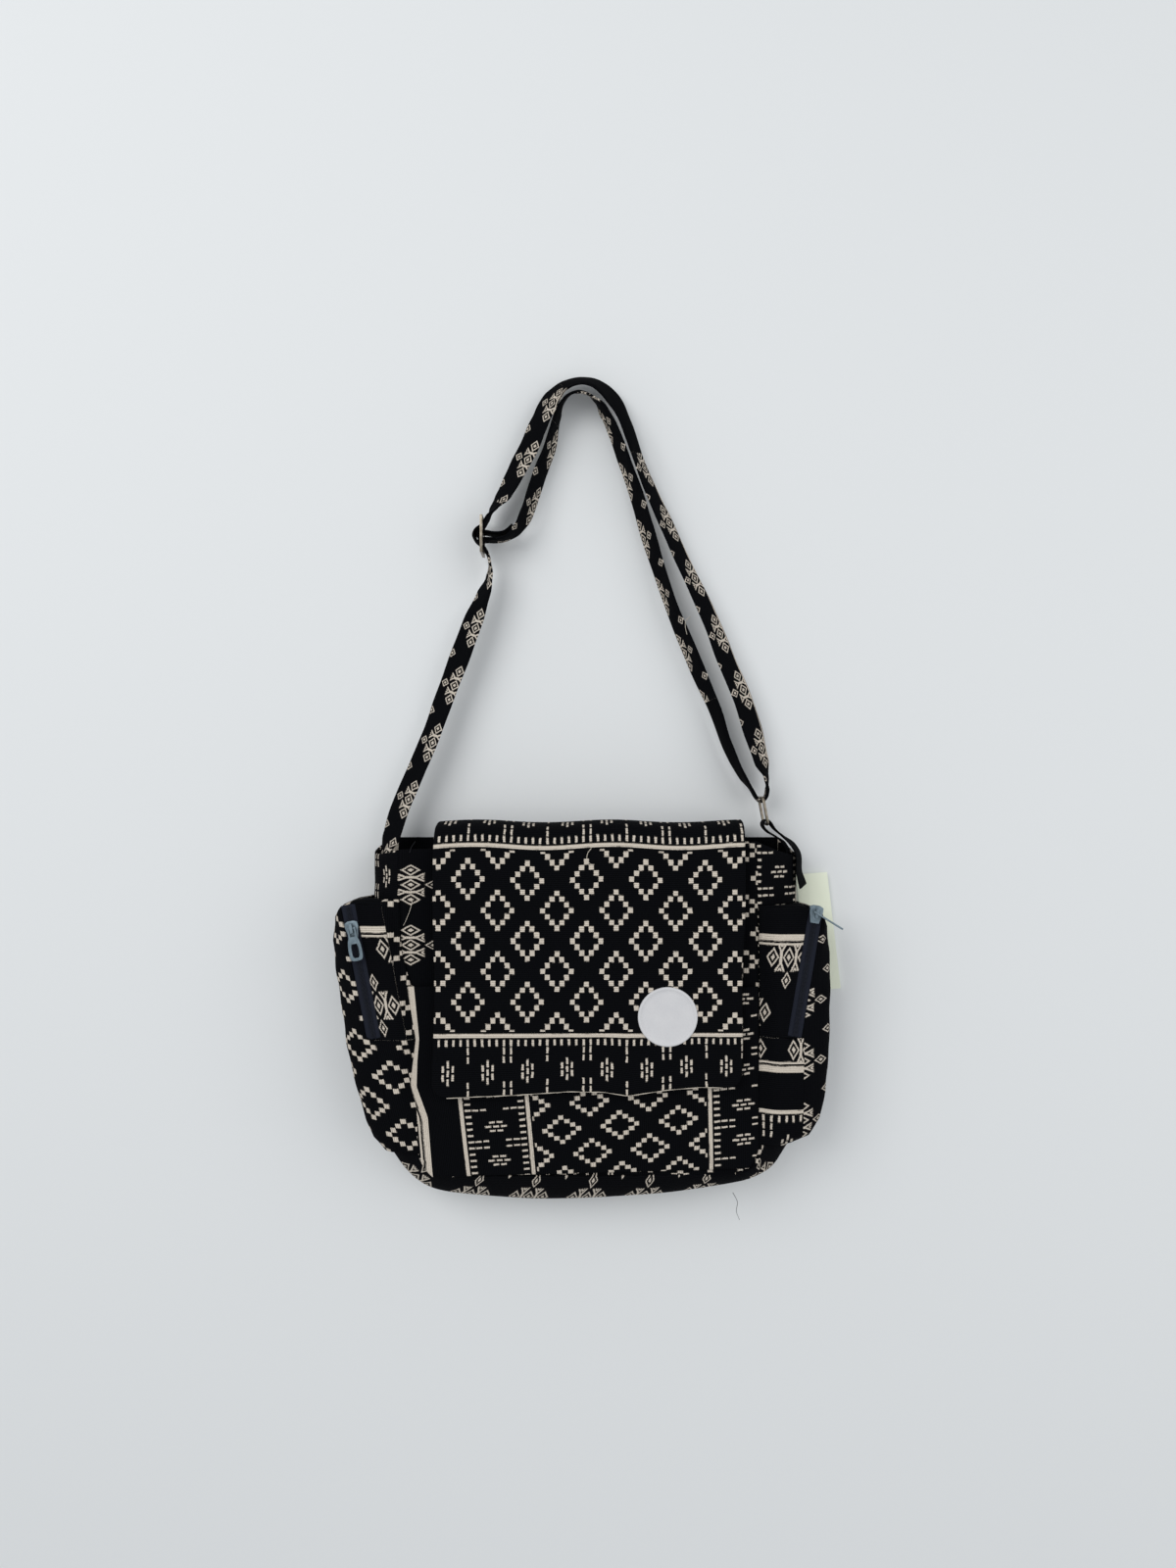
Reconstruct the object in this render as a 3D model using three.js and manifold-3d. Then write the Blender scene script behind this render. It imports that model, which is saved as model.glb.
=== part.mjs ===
import * as THREE from "three";
import Module from "manifold-3d";

// A cloth messenger bag that hangs by its strap. Millimetres, +Z up, +X to the viewer's right and +Y towards
// the wall. The origin is where the strap lies on its hook.

const CLOTH = 2.2; // panel thickness with its lining
const FRONT_Y = -50; // outer face of the front panel
const BACK_Y = 20; // outer face of the back panel
const SEAM = 0.4; // gap between cloth pieces that meet in a seam

const FLAP_Y = -66; // middle of the flap's cloth where it hangs in front
const FLAP_T = 2.4;
const FLAP_LEFT = -137;
const FLAP_RIGHT = 161;
const FLAP_CORNER = 13;

const STRAP_W = 25;
const STRAP_T = 3;

const ZIP_PLANE = -58.5; // middle of the zip tapes
const TAPE_T = 0.9;
const TAPE_W = 6.0; // visible width of one tape
const ZIP_GAP = 1.6; // room between the two halves for the slider's neck
const COIL_W = 2.6;
const COIL_H = 1.5;

const ADJUSTER = new THREE.Vector3(-96.5, -4, -147);
const ADJUSTER_H = 37;
const ADJUSTER_INNER = 27;
const WIRE = 3;

const BADGE_R = 28.5;
const BADGE = [86, -619];

const wasm = await Module();
wasm.setup();

const v3 = (x, y, z) => new THREE.Vector3(x, y, z);
const mix = (a, b, t) => a + (b - a) * t;

// Closed solids from rings of points.

function toSolid(points, faces) {
  const numbers = new Float32Array(points.length * 3);
  points.forEach((p, i) => p.toArray(numbers, i * 3));
  const made = (list) =>
    new wasm.Manifold(
      new wasm.Mesh({ numProp: 3, vertProperties: numbers, triVerts: new Uint32Array(list.flat()) })
    );
  const solid = made(faces);
  return solid.volume() >= 0 ? solid : made(faces.map(([a, b, c]) => [a, c, b]));
}

// Rings of equal length, joined side by side, with a fan of triangles over the first and the last.
function loft(rings) {
  const n = rings[0].length;
  const points = rings.flat();
  const faces = [];
  for (let r = 0; r + 1 < rings.length; r++) {
    for (let i = 0; i < n; i++) {
      const a = r * n + i;
      const b = r * n + ((i + 1) % n);
      faces.push([a, b, b + n], [a, b + n, a + n]);
    }
  }
  for (const [start, ring, last] of [[0, rings[0], false], [(rings.length - 1) * n, rings.at(-1), true]]) {
    const middle = ring.reduce((sum, p) => sum.add(p), v3(0, 0, 0)).divideScalar(n);
    points.push(middle);
    for (let i = 0; i < n; i++) {
      const pair = [start + i, start + ((i + 1) % n)];
      faces.push(last ? [...pair, points.length - 1] : [...pair.reverse(), points.length - 1]);
    }
  }
  return toSolid(points, faces);
}

// A sheet of even thickness over a grid of points: grid[row][column].
function sheet(grid, thickness) {
  const rows = grid.length;
  const columns = grid[0].length;
  const normal = (r, c) => {
    const along = grid[Math.min(r + 1, rows - 1)][c].clone().sub(grid[Math.max(r - 1, 0)][c]);
    const across = grid[r][Math.min(c + 1, columns - 1)].clone().sub(grid[r][Math.max(c - 1, 0)]);
    return along.cross(across).normalize();
  };
  const rings = grid.map((row, r) => {
    const top = row.map((p, c) => p.clone().addScaledVector(normal(r, c), thickness / 2));
    const under = row.map((p, c) => p.clone().addScaledVector(normal(r, c), -thickness / 2));
    return [...top, ...under.reverse()];
  });
  const n = 2 * columns;
  const points = rings.flat();
  const faces = [];
  for (let r = 0; r + 1 < rows; r++) {
    for (let i = 0; i < n; i++) {
      const a = r * n + i;
      const b = r * n + ((i + 1) % n);
      faces.push([a, b, b + n], [a, b + n, a + n]);
    }
  }
  for (const r of [0, rows - 1]) {
    for (let c = 0; c + 1 < columns; c++) {
      const [a, b] = [r * n + c, r * n + c + 1];
      const [d, e] = [r * n + n - 1 - c, r * n + n - 2 - c];
      const quad = [[a, d, e], [a, e, b]];
      faces.push(...(r === 0 ? quad.map(([p, q, s]) => [p, s, q]) : quad).map(([p, q, s]) => [p, s, q]));
    }
  }
  return toSolid(points, faces);
}

function block(x0, x1, y0, y1, z0, z1) {
  const ring = (y) => [v3(x0, y, z0), v3(x1, y, z0), v3(x1, y, z1), v3(x0, y, z1)];
  return loft([ring(y0), ring(y1)]);
}

function fromGeometry(geometry) {
  const position = geometry.getAttribute("position");
  const index = geometry.index;
  const keys = new Map();
  const points = [];
  const faces = [];
  const at = (i) => {
    const p = v3(0, 0, 0).fromBufferAttribute(position, i);
    const key = p.toArray().map((v) => Math.round(v * 500)).join();
    if (!keys.has(key)) {
      keys.set(key, points.length);
      points.push(p);
    }
    return keys.get(key);
  };
  const count = index ? index.count : position.count;
  for (let i = 0; i < count; i += 3) {
    const face = [0, 1, 2].map((k) => at(index ? index.getX(i + k) : i + k));
    if (new Set(face).size === 3) {
      faces.push(face);
    }
  }
  return toSolid(points, faces);
}

// The body: three outlines in XZ, each from its left top end round the bottom to its right top end.

const FRONT_OUTLINE = [
  [-175, -461], [-175, -520], [-173, -580], [-169, -630], [-165, -690], [-160, -735], [-150, -762],
  [-128, -774], [-60, -776], [10, -776], [90, -776], [145, -775], [172, -767], [181, -745], [181, -690],
  [178, -630], [176, -580], [175, -520], [174, -453],
];
const MIDDLE_OUTLINE = [
  [-203, -466], [-203, -520], [-203, -580], [-203, -640], [-202, -695], [-198, -735], [-184, -764],
  [-150, -797], [-60, -809], [10, -810], [90, -803], [150, -794], [190, -780], [210, -750], [216, -700],
  [217, -640], [217, -580], [217, -520], [217, -468],
];
const BACK_OUTLINE = [
  [-192, -452], [-192, -520], [-190, -580], [-188, -640], [-186, -695], [-182, -735], [-172, -762],
  [-140, -782], [-60, -786], [10, -786], [90, -784], [150, -780], [184, -768], [197, -745], [201, -700],
  [203, -640], [204, -580], [205, -520], [205, -452],
];
const OUTLINE_STEPS = 40;
const PUFF = 0.75; // below 1 the gusset swells quickly from its seams

const curveThrough = (points) => new THREE.CatmullRomCurve3(points, false, "centripetal");

function smooth(points, steps) {
  return curveThrough(points.map(([x, z]) => v3(x, 0, z))).getSpacedPoints(steps);
}

const OUTLINES = [FRONT_OUTLINE, MIDDLE_OUTLINE, BACK_OUTLINE].map((o) => smooth(o, OUTLINE_STEPS));

// The outline at depth y, moved outwards by grow. The mouth closes at height top, or else where the outline
// itself ends.
function bodyRing(y, grow, top) {
  const q = THREE.MathUtils.clamp((y - FRONT_Y) / (BACK_Y - FRONT_Y), 0, 1);
  const swell = Math.sin(Math.PI * q) ** PUFF;
  const [front, middle, back] = OUTLINES;
  const line = front.map((f, i) => {
    const flat = f.clone().lerp(back[i], q);
    const between = f.clone().lerp(back[i], 0.5);
    return flat.add(middle[i].clone().sub(between).multiplyScalar(swell));
  });
  const moved = line.map((p, i) => {
    const along = line[Math.min(i + 1, line.length - 1)].clone().sub(line[Math.max(i - 1, 0)]);
    const out = v3(along.z, 0, -along.x).normalize();
    return v3(p.x + out.x * grow, y, p.z + out.z * grow);
  });
  if (top !== undefined) {
    moved[0].z = top;
    moved[moved.length - 1].z = top;
  }
  return moved;
}

const DEPTHS = [0, 0.03, 0.1, 0.22, 0.36, 0.5, 0.64, 0.78, 0.9, 0.97, 1];

function body(grow, end, top) {
  const [y0, y1] = [FRONT_Y - end, BACK_Y + end];
  return loft(DEPTHS.map((q) => bodyRing(mix(y0, y1, q), grow, top)));
}

const bodyOuter = body(0, 0);
const bodyInner = body(-CLOTH, -CLOTH, -380);
const bodyRoom = body(0.5, 0.5, -430);
const shell = bodyOuter.subtract(bodyInner);
const FRONT_SEAM_Y = FRONT_Y + CLOTH + 0.9;
const BACK_SEAM_Y = BACK_Y - CLOTH - 0.9;
const slabY = (y0, y1) => block(-400, 400, y0, y1, -900, -300);

const frontPanel = shell.intersect(slabY(FRONT_Y - 10, FRONT_SEAM_Y));
const gusset = shell.intersect(slabY(FRONT_SEAM_Y + SEAM, BACK_SEAM_Y - SEAM));
const backPanel = shell.intersect(slabY(BACK_SEAM_Y, BACK_Y + 10));

// The flap.

const FLAP_PROFILE = [
  [18.8, -451.3], [18.3, -446], [13, -440], [0, -436.6], [-26, -434.5], [-48, -436.5], [-59, -441.5],
  [-64, -450], [-65.6, -462], [FLAP_Y, -480], [FLAP_Y, -530], [FLAP_Y, -590], [FLAP_Y, -640],
  [FLAP_Y, -692],
];
const flapCurve = curveThrough(FLAP_PROFILE.map(([y, z]) => v3(0, y, z)));
const flapLength = flapCurve.getLength();
const flapStops = [];
for (let i = 0; i <= 14; i++) {
  flapStops.push((i / 14) * 130);
}
for (const below of [150, 100, 50, 20, FLAP_CORNER, 8, 4, 1.5, 0]) {
  flapStops.push(flapLength - below);
}
const flap = sheet(
  flapStops.map((s) => {
    const p = flapCurve.getPointAt(Math.min(s / flapLength, 1));
    const below = flapLength - s;
    const inside = Math.max(FLAP_CORNER - below, 0);
    const inset = FLAP_CORNER - Math.sqrt(Math.max(FLAP_CORNER ** 2 - inside ** 2, 0));
    const right = mix(FLAP_RIGHT, FLAP_RIGHT - 6, s / flapLength);
    const columns = [];
    for (let c = 0; c <= 8; c++) {
      columns.push(v3(mix(FLAP_LEFT + inset, right - inset, c / 8), p.y, p.z));
    }
    return columns;
  }),
  FLAP_T
);

// The front pocket: flat in its seams, loose at its mouth.

const POCKET_TOP = -593;
const POCKET_BOTTOM = -771;
const POCKET_BULGE = 9;
const frontPocketGrid = [];
for (let r = 0; r <= 10; r++) {
  const v = r / 10;
  const z = mix(POCKET_TOP, POCKET_BOTTOM, v);
  const corner = Math.max(0, v - 0.86) / 0.14;
  const left = mix(-172, -161, Math.min(v * 1.3, 1)) + 18 * corner ** 2;
  const right = mix(175, 179, v) - 12 * corner ** 2;
  const row = [];
  for (let c = 0; c <= 14; c++) {
    const u = c / 14;
    const loose = Math.sin(Math.PI * u) ** 0.6 * (1 - v ** 3);
    row.push(v3(mix(left, right, u), -52 - POCKET_BULGE * loose, z));
  }
  frontPocketGrid.push(row);
}
const frontPocket = sheet(frontPocketGrid, 2);

// The side pockets: sections at heights, as [z, outermost x, swelling from 0 to 1].

const LEFT_SECTIONS = [
  [-509, -207, 0.1], [-511, -219, 0.55], [-516, -230, 0.8], [-526, -237, 0.96], [-550, -239.5, 1],
  [-600, -234, 1], [-648, -227, 1], [-696, -216, 0.9], [-725, -208, 0.75], [-742, -201, 0.5],
  [-754, -190, 0.1],
];
const RIGHT_SECTIONS = [
  [-515, 212, 0.1], [-517, 226, 0.55], [-522, 236, 0.8], [-535, 244, 0.96], [-560, 246.5, 1],
  [-600, 247, 1], [-648, 246.5, 1], [-696, 243, 0.95], [-722, 237, 0.85], [-738, 227, 0.6],
  [-746, 212, 0.1],
];
const LEFT_INNER = [[-500, -172], [-560, -170], [-620, -164], [-690, -158], [-760, -152]];
const RIGHT_INNER = [[-500, 170], [-760, 172]];
const SECTION_STEPS = 26;
const BOXY = 0.6; // the power of the rounded section

function along(table, z) {
  for (let i = 0; i + 1 < table.length; i++) {
    const [[z0, x0], [z1, x1]] = [table[i], table[i + 1]];
    if (z <= z0 && z >= z1) {
      return mix(x0, x1, (z0 - z) / (z0 - z1));
    }
  }
  return table.at(-1)[1];
}

function pocketLoop(z, outer, swell, inner, inset) {
  const start = along(inner, z);
  const side = Math.sign(outer);
  const reach = Math.abs(outer - start) - inset;
  const depth = mix(26, 39, swell) - inset;
  const points = [];
  for (let i = 0; i <= SECTION_STEPS; i++) {
    const a = Math.PI * (i / SECTION_STEPS);
    const c = Math.cos(a);
    const seam = (depth - 24) * Math.exp(-((a / 0.3) ** 2));
    const y = -22 - Math.sign(c) * depth * Math.abs(c) ** BOXY + seam - (c < 0 ? c * c * 6 : 0);
    points.push(v3(start + side * reach * Math.sin(a) ** BOXY, y, z));
  }
  return points;
}

function sidePocket(sections, inner) {
  const outer = loft(sections.map(([z, x, s]) => pocketLoop(z, x, s, inner, 0)));
  const room = sections.slice(1, -1).map(([z, x, s], i, all) => {
    const shift = i === 0 ? -1.5 : i === all.length - 1 ? 2.5 : 0;
    return pocketLoop(z + shift, x, s, inner, 2);
  });
  return [outer, loft(room)];
}

const LEFT_ZIP = { top: v3(-221, ZIP_PLANE, -513), bottom: v3(-196, ZIP_PLANE, -642), rest: 24 };
const RIGHT_ZIP = { top: v3(229.5, ZIP_PLANE, -517), bottom: v3(208.5, ZIP_PLANE, -640), rest: 5 };

// A frame on the zip: x across it, y up along it and z out of the pocket. Its origin lies this distance from
// the top.
function zipFrame(zip, distance) {
  const up = zip.top.clone().sub(zip.bottom).normalize();
  const out = v3(0, -1, 0);
  const across = up.clone().cross(out).normalize();
  const origin = zip.top.clone().addScaledVector(up, -distance);
  return new THREE.Matrix4().makeBasis(across, up, out).setPosition(origin);
}

function place(solid, matrix) {
  return solid.transform(matrix.toArray());
}

const zipLength = (zip) => zip.top.distanceTo(zip.bottom);

function zipHalf(zip, side) {
  const length = zipLength(zip);
  const inner = side * (ZIP_GAP / 2);
  const outer = side * (ZIP_GAP / 2 + TAPE_W);
  const coil = side * (ZIP_GAP / 2 + COIL_W);
  const [a, b] = [Math.min(inner, outer), Math.max(inner, outer)];
  const [c, d] = [Math.min(inner, coil), Math.max(inner, coil)];
  const tape = block(a, b, -length, 0, -TAPE_T / 2, TAPE_T / 2);
  const ridge = block(c, d, -length + 1, -1, -TAPE_T / 2, TAPE_T / 2 + COIL_H);
  return place(tape.add(ridge), zipFrame(zip, 0));
}

function zipSlot(zip) {
  const half = ZIP_GAP / 2 + TAPE_W + SEAM;
  return place(block(-half, half, -zipLength(zip) - SEAM, SEAM, -9, 9), zipFrame(zip, 0));
}

function finishedPocket(sections, inner, zip) {
  const [outer, room] = sidePocket(sections, inner);
  return outer.subtract(room).subtract(bodyRoom).subtract(zipSlot(zip));
}

// Zip slider and puller.

const SLIDER_W = 13;
const SLIDER_L = 17;
const PIN_UP = 1.5;
const PIN_OUT = 6.4;
const PULLER_L = 33;
const PULLER_T = 1.7;

function plate(outline, z0, z1) {
  const ring = (z) => outline.map(([x, y]) => v3(x, y, z));
  return loft([ring(z0), ring(z1)]);
}

const sliderPlan = [
  [-4.2, -8.5], [4.2, -8.5], [5, -4], [6.5, 3], [6.2, 7], [3, 8.5], [-3, 8.5], [-6.2, 7], [-6.5, 3],
  [-5, -4],
];
const aboveCoil = TAPE_T / 2 + COIL_H + 0.3;
const sliderShape = plate(sliderPlan, aboveCoil, aboveCoil + 1.4)
  .add(plate(sliderPlan, -TAPE_T / 2 - 1.7, -TAPE_T / 2 - 0.3))
  .add(block(-0.5, 0.5, 1, 6, -TAPE_T / 2 - 1, aboveCoil + 1))
  .add(block(-1.5, 1.5, 4.2, 6, aboveCoil, PIN_OUT + 3))
  .add(block(-1.5, 1.5, -3, -1.2, aboveCoil, PIN_OUT + 3))
  .add(block(-1.5, 1.5, -3, 6, PIN_OUT + 1.6, PIN_OUT + 3));

const pullerOutline = new THREE.Shape();
pullerOutline.moveTo(-3.8, 1);
pullerOutline.lineTo(3.8, 1);
pullerOutline.lineTo(4.2, -9);
pullerOutline.bezierCurveTo(7, -13, 7, -PULLER_L + 4, 5.4, -PULLER_L + 3);
pullerOutline.bezierCurveTo(4, -PULLER_L + 1, -4, -PULLER_L + 1, -5.4, -PULLER_L + 3);
pullerOutline.bezierCurveTo(-7, -PULLER_L + 4, -7, -13, -4.2, -9);
pullerOutline.closePath();
const eye = new THREE.Path([
  [-2.3, -0.9], [-2.3, -8], [2.3, -8], [2.3, -0.9],
].map(([x, y]) => new THREE.Vector2(x, y)));
const grip = new THREE.Path([
  [-2.6, -15], [-3.4, -18], [-3.4, -26], [-2, -28.5], [2, -28.5], [3.4, -26], [3.4, -18], [2.6, -15],
].map(([x, y]) => new THREE.Vector2(x, y)));
pullerOutline.holes.push(eye, grip);
const pullerShape = fromGeometry(
  new THREE.ExtrudeGeometry(pullerOutline, { depth: PULLER_T, bevelEnabled: false, curveSegments: 6 })
).translate([0, 0, -PULLER_T / 2]);

// This puller hangs flat, its eye round the bridge's lower leg.
function hangingPuller(zip) {
  const pin = new THREE.Matrix4().makeTranslation(0, PIN_UP, PIN_OUT);
  return place(pullerShape, zipFrame(zip, zip.rest).multiply(pin));
}

// This one lies to the side on its edge, its eye round the bridge's top bar.
const EYE_REST = -3.25; // where along the puller the bar lies
const BAR_OUT = PIN_OUT + 2.9;

function sidewaysPuller(zip, drop) {
  const a = THREE.MathUtils.degToRad(drop);
  const turn = new THREE.Matrix4().makeBasis(
    v3(0, 0, 1),
    v3(-Math.cos(a), Math.sin(a), 0),
    v3(-Math.sin(a), -Math.cos(a), 0)
  );
  const bar = new THREE.Matrix4().makeTranslation(0, PIN_UP, BAR_OUT);
  const eyeToBar = new THREE.Matrix4().makeTranslation(0, -EYE_REST, 0);
  return place(pullerShape, zipFrame(zip, zip.rest).multiply(bar).multiply(turn).multiply(eyeToBar));
}

// Bands: stations of [x, y, z, turn in degrees, width]. A turn of 90 lays the width along Y.

function band(stations, thickness, perSegment) {
  const curve = curveThrough(stations.map(([x, y, z]) => v3(x, y, z)));
  const last = stations.length - 1;
  const rings = [];
  for (let i = 0; i <= last * perSegment; i++) {
    const t = i / (last * perSegment);
    const k = Math.min(Math.floor(t * last), last - 1);
    const f = t * last - k;
    const ease = f * f * (3 - 2 * f);
    const angle = THREE.MathUtils.degToRad(mix(stations[k][3], stations[k + 1][3], ease));
    const width = mix(stations[k][4], stations[k + 1][4], ease);
    const centre = curve.getPoint(t);
    const tangent = curve.getTangent(t);
    const flat = tangent.clone().cross(v3(0, 1, 0)).normalize().multiplyScalar(Math.cos(angle));
    const wide = flat.addScaledVector(v3(0, 1, 0), Math.sin(angle)).normalize();
    const thin = tangent.clone().cross(wide).normalize();
    const bevel = thickness * 0.3;
    const ring = [
      [-width / 2 + bevel, thickness / 2], [width / 2 - bevel, thickness / 2], [width / 2, 0],
      [width / 2 - bevel, -thickness / 2], [-width / 2 + bevel, -thickness / 2], [-width / 2, 0],
    ];
    rings.push(ring.map(([w, h]) => centre.clone().addScaledVector(wide, w).addScaledVector(thin, h)));
  }
  return loft(rings);
}

const STRAP = [
  [-196.9, -8.5, -492, 94, 22], [-196.4, -9, -480, 92, 22], [-193, -12, -464, 60, 23],
  [-187.5, -11, -450, 38, 24], [-179.8, -10, -424, 33, STRAP_W], [-164, -9, -386, 36, STRAP_W],
  [-148, -8, -348, 38, STRAP_W], [-134.5, -7, -310, 33, STRAP_W], [-120.4, -7, -272.5, 30, STRAP_W],
  [-106.5, -6, -234.6, 34, STRAP_W], [-95.6, -5, -206, 50, STRAP_W], [-89.5, -4, -187, 72, STRAP_W],
  [-89.2, -4, -174, 88, STRAP_W], [-91.0, -4, -165.5, 90, STRAP_W], [-96.5, -4, -156.6, 90, STRAP_W],
  [-102.4, -4, -152, 90, STRAP_W], [-104.6, -4, -147, 90, STRAP_W], [-102.4, -4, -142, 90, STRAP_W],
  [-96.5, -4, -137.4, 90, STRAP_W], [-91.0, -4, -128.5, 90, STRAP_W], [-84.5, -4, -117.5, 66, STRAP_W],
  [-74.8, -4, -105, 46, STRAP_W], [-65.8, -4, -88.3, 36, STRAP_W], [-57.5, -4, -72, 33, STRAP_W],
  [-48.8, -4, -55.6, 33, STRAP_W], [-42.3, -4, -39.2, 35, STRAP_W], [-34.8, -4, -22.8, 42, STRAP_W],
  [-27, -3, -7.5, 50, STRAP_W], [-18, -2, 3, 57, 24], [-7, -1, 9.3, 60, 24], [5, -1, 11, 60, 24],
  [17, -1, 8.5, 58, 24], [28, -2, 0.5, 56, 24], [37.7, -4, -12, 56, STRAP_W], [47.6, -6, -32, 58, STRAP_W],
  [61.5, -6, -72, 60, STRAP_W], [75, -6, -105, 54, STRAP_W], [90.2, -6, -138, 50, STRAP_W],
  [104.6, -6, -170.6, 48, STRAP_W], [122.6, -6, -208, 44, STRAP_W], [137.3, -6, -241, 42, STRAP_W],
  [149.7, -6, -273.7, 36, STRAP_W], [164.1, -6, -306.8, 34, STRAP_W], [174.8, -6, -339.6, 34, STRAP_W],
  [184.4, -5, -372.5, 46, STRAP_W], [189.6, -4, -390, 74, 24], [190.6, -4, -403, 90, 23],
  [188.4, -4, -411, 90, 23], [184.2, -4, -414, 90, 23], [179.9, -4, -411, 90, 23],
  [174.5, -4, -402, 90, 23], [164.5, -3, -387, 80, 24], [150, -1, -356, 74, STRAP_W],
  [139, 0, -323, 68, STRAP_W], [124.7, 1, -290, 62, STRAP_W], [111, 1, -257.4, 62, STRAP_W],
  [97.1, 1, -224, 66, STRAP_W], [85.6, 1, -191.4, 66, STRAP_W], [68.9, 1, -138, 60, STRAP_W],
  [59.4, 1, -105, 62, STRAP_W], [47.6, 1, -72, 66, STRAP_W], [35.5, 1, -39, 70, STRAP_W],
  [25.8, 0, -20, 78, 24], [16.4, 0, -7.5, 98, 24], [8, 0, -1.4, 108, 24], [0, 0, 0.2, 112, 24],
  [-8, 0, -1.8, 108, 24], [-15.2, 0, -9.6, 98, 24], [-20.8, 1, -23, 80, STRAP_W],
  [-28.5, 1, -55.6, 68, STRAP_W], [-38, 1, -80, 64, STRAP_W], [-45.8, 0, -104, 62, STRAP_W],
  [-52.5, -1, -124, 64, STRAP_W], [-61, -3, -139, 76, STRAP_W], [-73, -4, -149, 90, STRAP_W],
  [-84, -4, -150.9, 90, 24], [-92, -4, -150.7, 90, 24], [-97, -4, -150.8, 90, 24],
  [-100.1, -4, -149, 90, 24], [-100.4, -4, -145.6, 90, 24], [-98, -4, -143.3, 90, 24],
  [-93, -4, -143.4, 90, 24], [-84, -4, -144.9, 90, 24], [-74, -4, -143.7, 90, 24],
  [-66, -4, -136.8, 88, 24],
];
const strap = band(STRAP, STRAP_T, 2);

// The adjuster: two side rails, two end bars and a centre bar cast in one.

function adjusterFrame() {
  const c = ADJUSTER;
  const half = ADJUSTER_H / 2;
  const inner = ADJUSTER_INNER / 2;
  const [x0, x1] = [c.x - 1.3, c.x + 1.3];
  const bar = (z) => block(x0, x1, c.y - inner - 1, c.y + inner + 1, z - WIRE / 2, z + WIRE / 2);
  const rail = (y0, y1) => block(x0, x1, y0, y1, c.z - half, c.z + half);
  return rail(c.y - inner - WIRE, c.y - inner)
    .add(rail(c.y + inner, c.y + inner + WIRE))
    .add(bar(c.z + half - WIRE / 2))
    .add(bar(c.z - half + WIRE / 2))
    .add(bar(c.z));
}

// The ring: a rounded wire loop, edge on to the viewer.

const RING_TOP = v3(184.2, -4, -410.4);
const RING_BOTTOM = v3(189.2, -4, -437);
const RING_W = 30; // between wire middles, along Y
const RING_CORNER = 5;

function ringLoop() {
  const up = RING_TOP.clone().sub(RING_BOTTOM);
  const height = up.length();
  up.normalize();
  const middle = RING_TOP.clone().lerp(RING_BOTTOM, 0.5);
  const path = [];
  const corners = [[1, 1], [-1, 1], [-1, -1], [1, -1]];
  corners.forEach(([sy, sz], k) => {
    for (let i = 0; i <= 4; i++) {
      const a = (k * Math.PI) / 2 + (i / 4) * (Math.PI / 2);
      const y = sy * (RING_W / 2 - RING_CORNER) + RING_CORNER * Math.cos(a);
      const h = sz * (height / 2 - RING_CORNER) + RING_CORNER * Math.sin(a);
      path.push([y, h]);
    }
  });
  const out = up.clone().cross(v3(0, 1, 0)).normalize();
  const n = path.length;
  const rings = path.map(([y, h], i) => {
    const [a, b] = [path[(i + n - 1) % n], path[(i + 1) % n]];
    const t = new THREE.Vector2(b[0] - a[0], b[1] - a[1]).normalize();
    const points = [];
    for (let k = 0; k < 8; k++) {
      const w = (k / 8) * 2 * Math.PI;
      const [r, o] = [(Math.cos(w) * WIRE) / 2, (Math.sin(w) * WIRE) / 2];
      points.push(
        middle
          .clone()
          .addScaledVector(v3(0, 1, 0), y + t.y * r)
          .addScaledVector(up, h - t.x * r)
          .addScaledVector(out, o)
      );
    }
    return points;
  });
  const faces = [];
  for (let i = 0; i < n; i++) {
    for (let k = 0; k < 8; k++) {
      const [a, b] = [i * 8 + k, i * 8 + ((k + 1) % 8)];
      const [c, d] = [((i + 1) % n) * 8 + k, ((i + 1) % n) * 8 + ((k + 1) % 8)];
      faces.push([a, c, d], [a, d, b]);
    }
  }
  return toSolid(rings.flat(), faces);
}

// The ring tab: folded over the ring, with one leg inside the gusset and a raw end outside it.

const TAB = [
  [211, -14, -500, 111, 21], [211, -14, -486, 111, 21], [211, -14, -470, 111, 21],
  [207.6, -12.4, -458, 104, 22], [198.5, -8, -449.5, 94, 23], [189.8, -5, -444, 91, 23],
  [186.0, -4, -439.4, 90, 23], [185.7, -4, -436, 90, 23], [187.4, -4, -433.6, 90, 23],
  [190.4, -4, -433.3, 90, 23], [193.0, -4.2, -435.6, 90, 23], [197, -5.5, -441.5, 88, 24],
  [206, -9, -449.5, 84, 25], [216.4, -12.8, -459.5, 74, 25], [220.4, -14, -468.5, 69, 25],
  [220.9, -14, -484, 68, 26], [225, -14, -499, 66, 29],
];

// The badge, the tag and its string.

function badge() {
  const front = FLAP_Y - FLAP_T / 2 - 0.3;
  const profile = [
    [0, 0], [BADGE_R, 0], [BADGE_R, 1.3], [BADGE_R - 0.7, 1.8], [BADGE_R - 2.2, 1.8], [BADGE_R - 2.9, 1.1],
    [0, 1.1],
  ];
  const turned = new THREE.LatheGeometry(profile.map(([r, h]) => new THREE.Vector2(r, h)), 48);
  turned.rotateX(Math.PI);
  turned.translate(BADGE[0], front, BADGE[1]);
  return fromGeometry(turned);
}

const TAG_Y = 15.5;
const TAG_T = 0.6;
const TAG_CORNERS = [[223, -489.5], [237, -608.5], [269, -606], [255, -487]];

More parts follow.
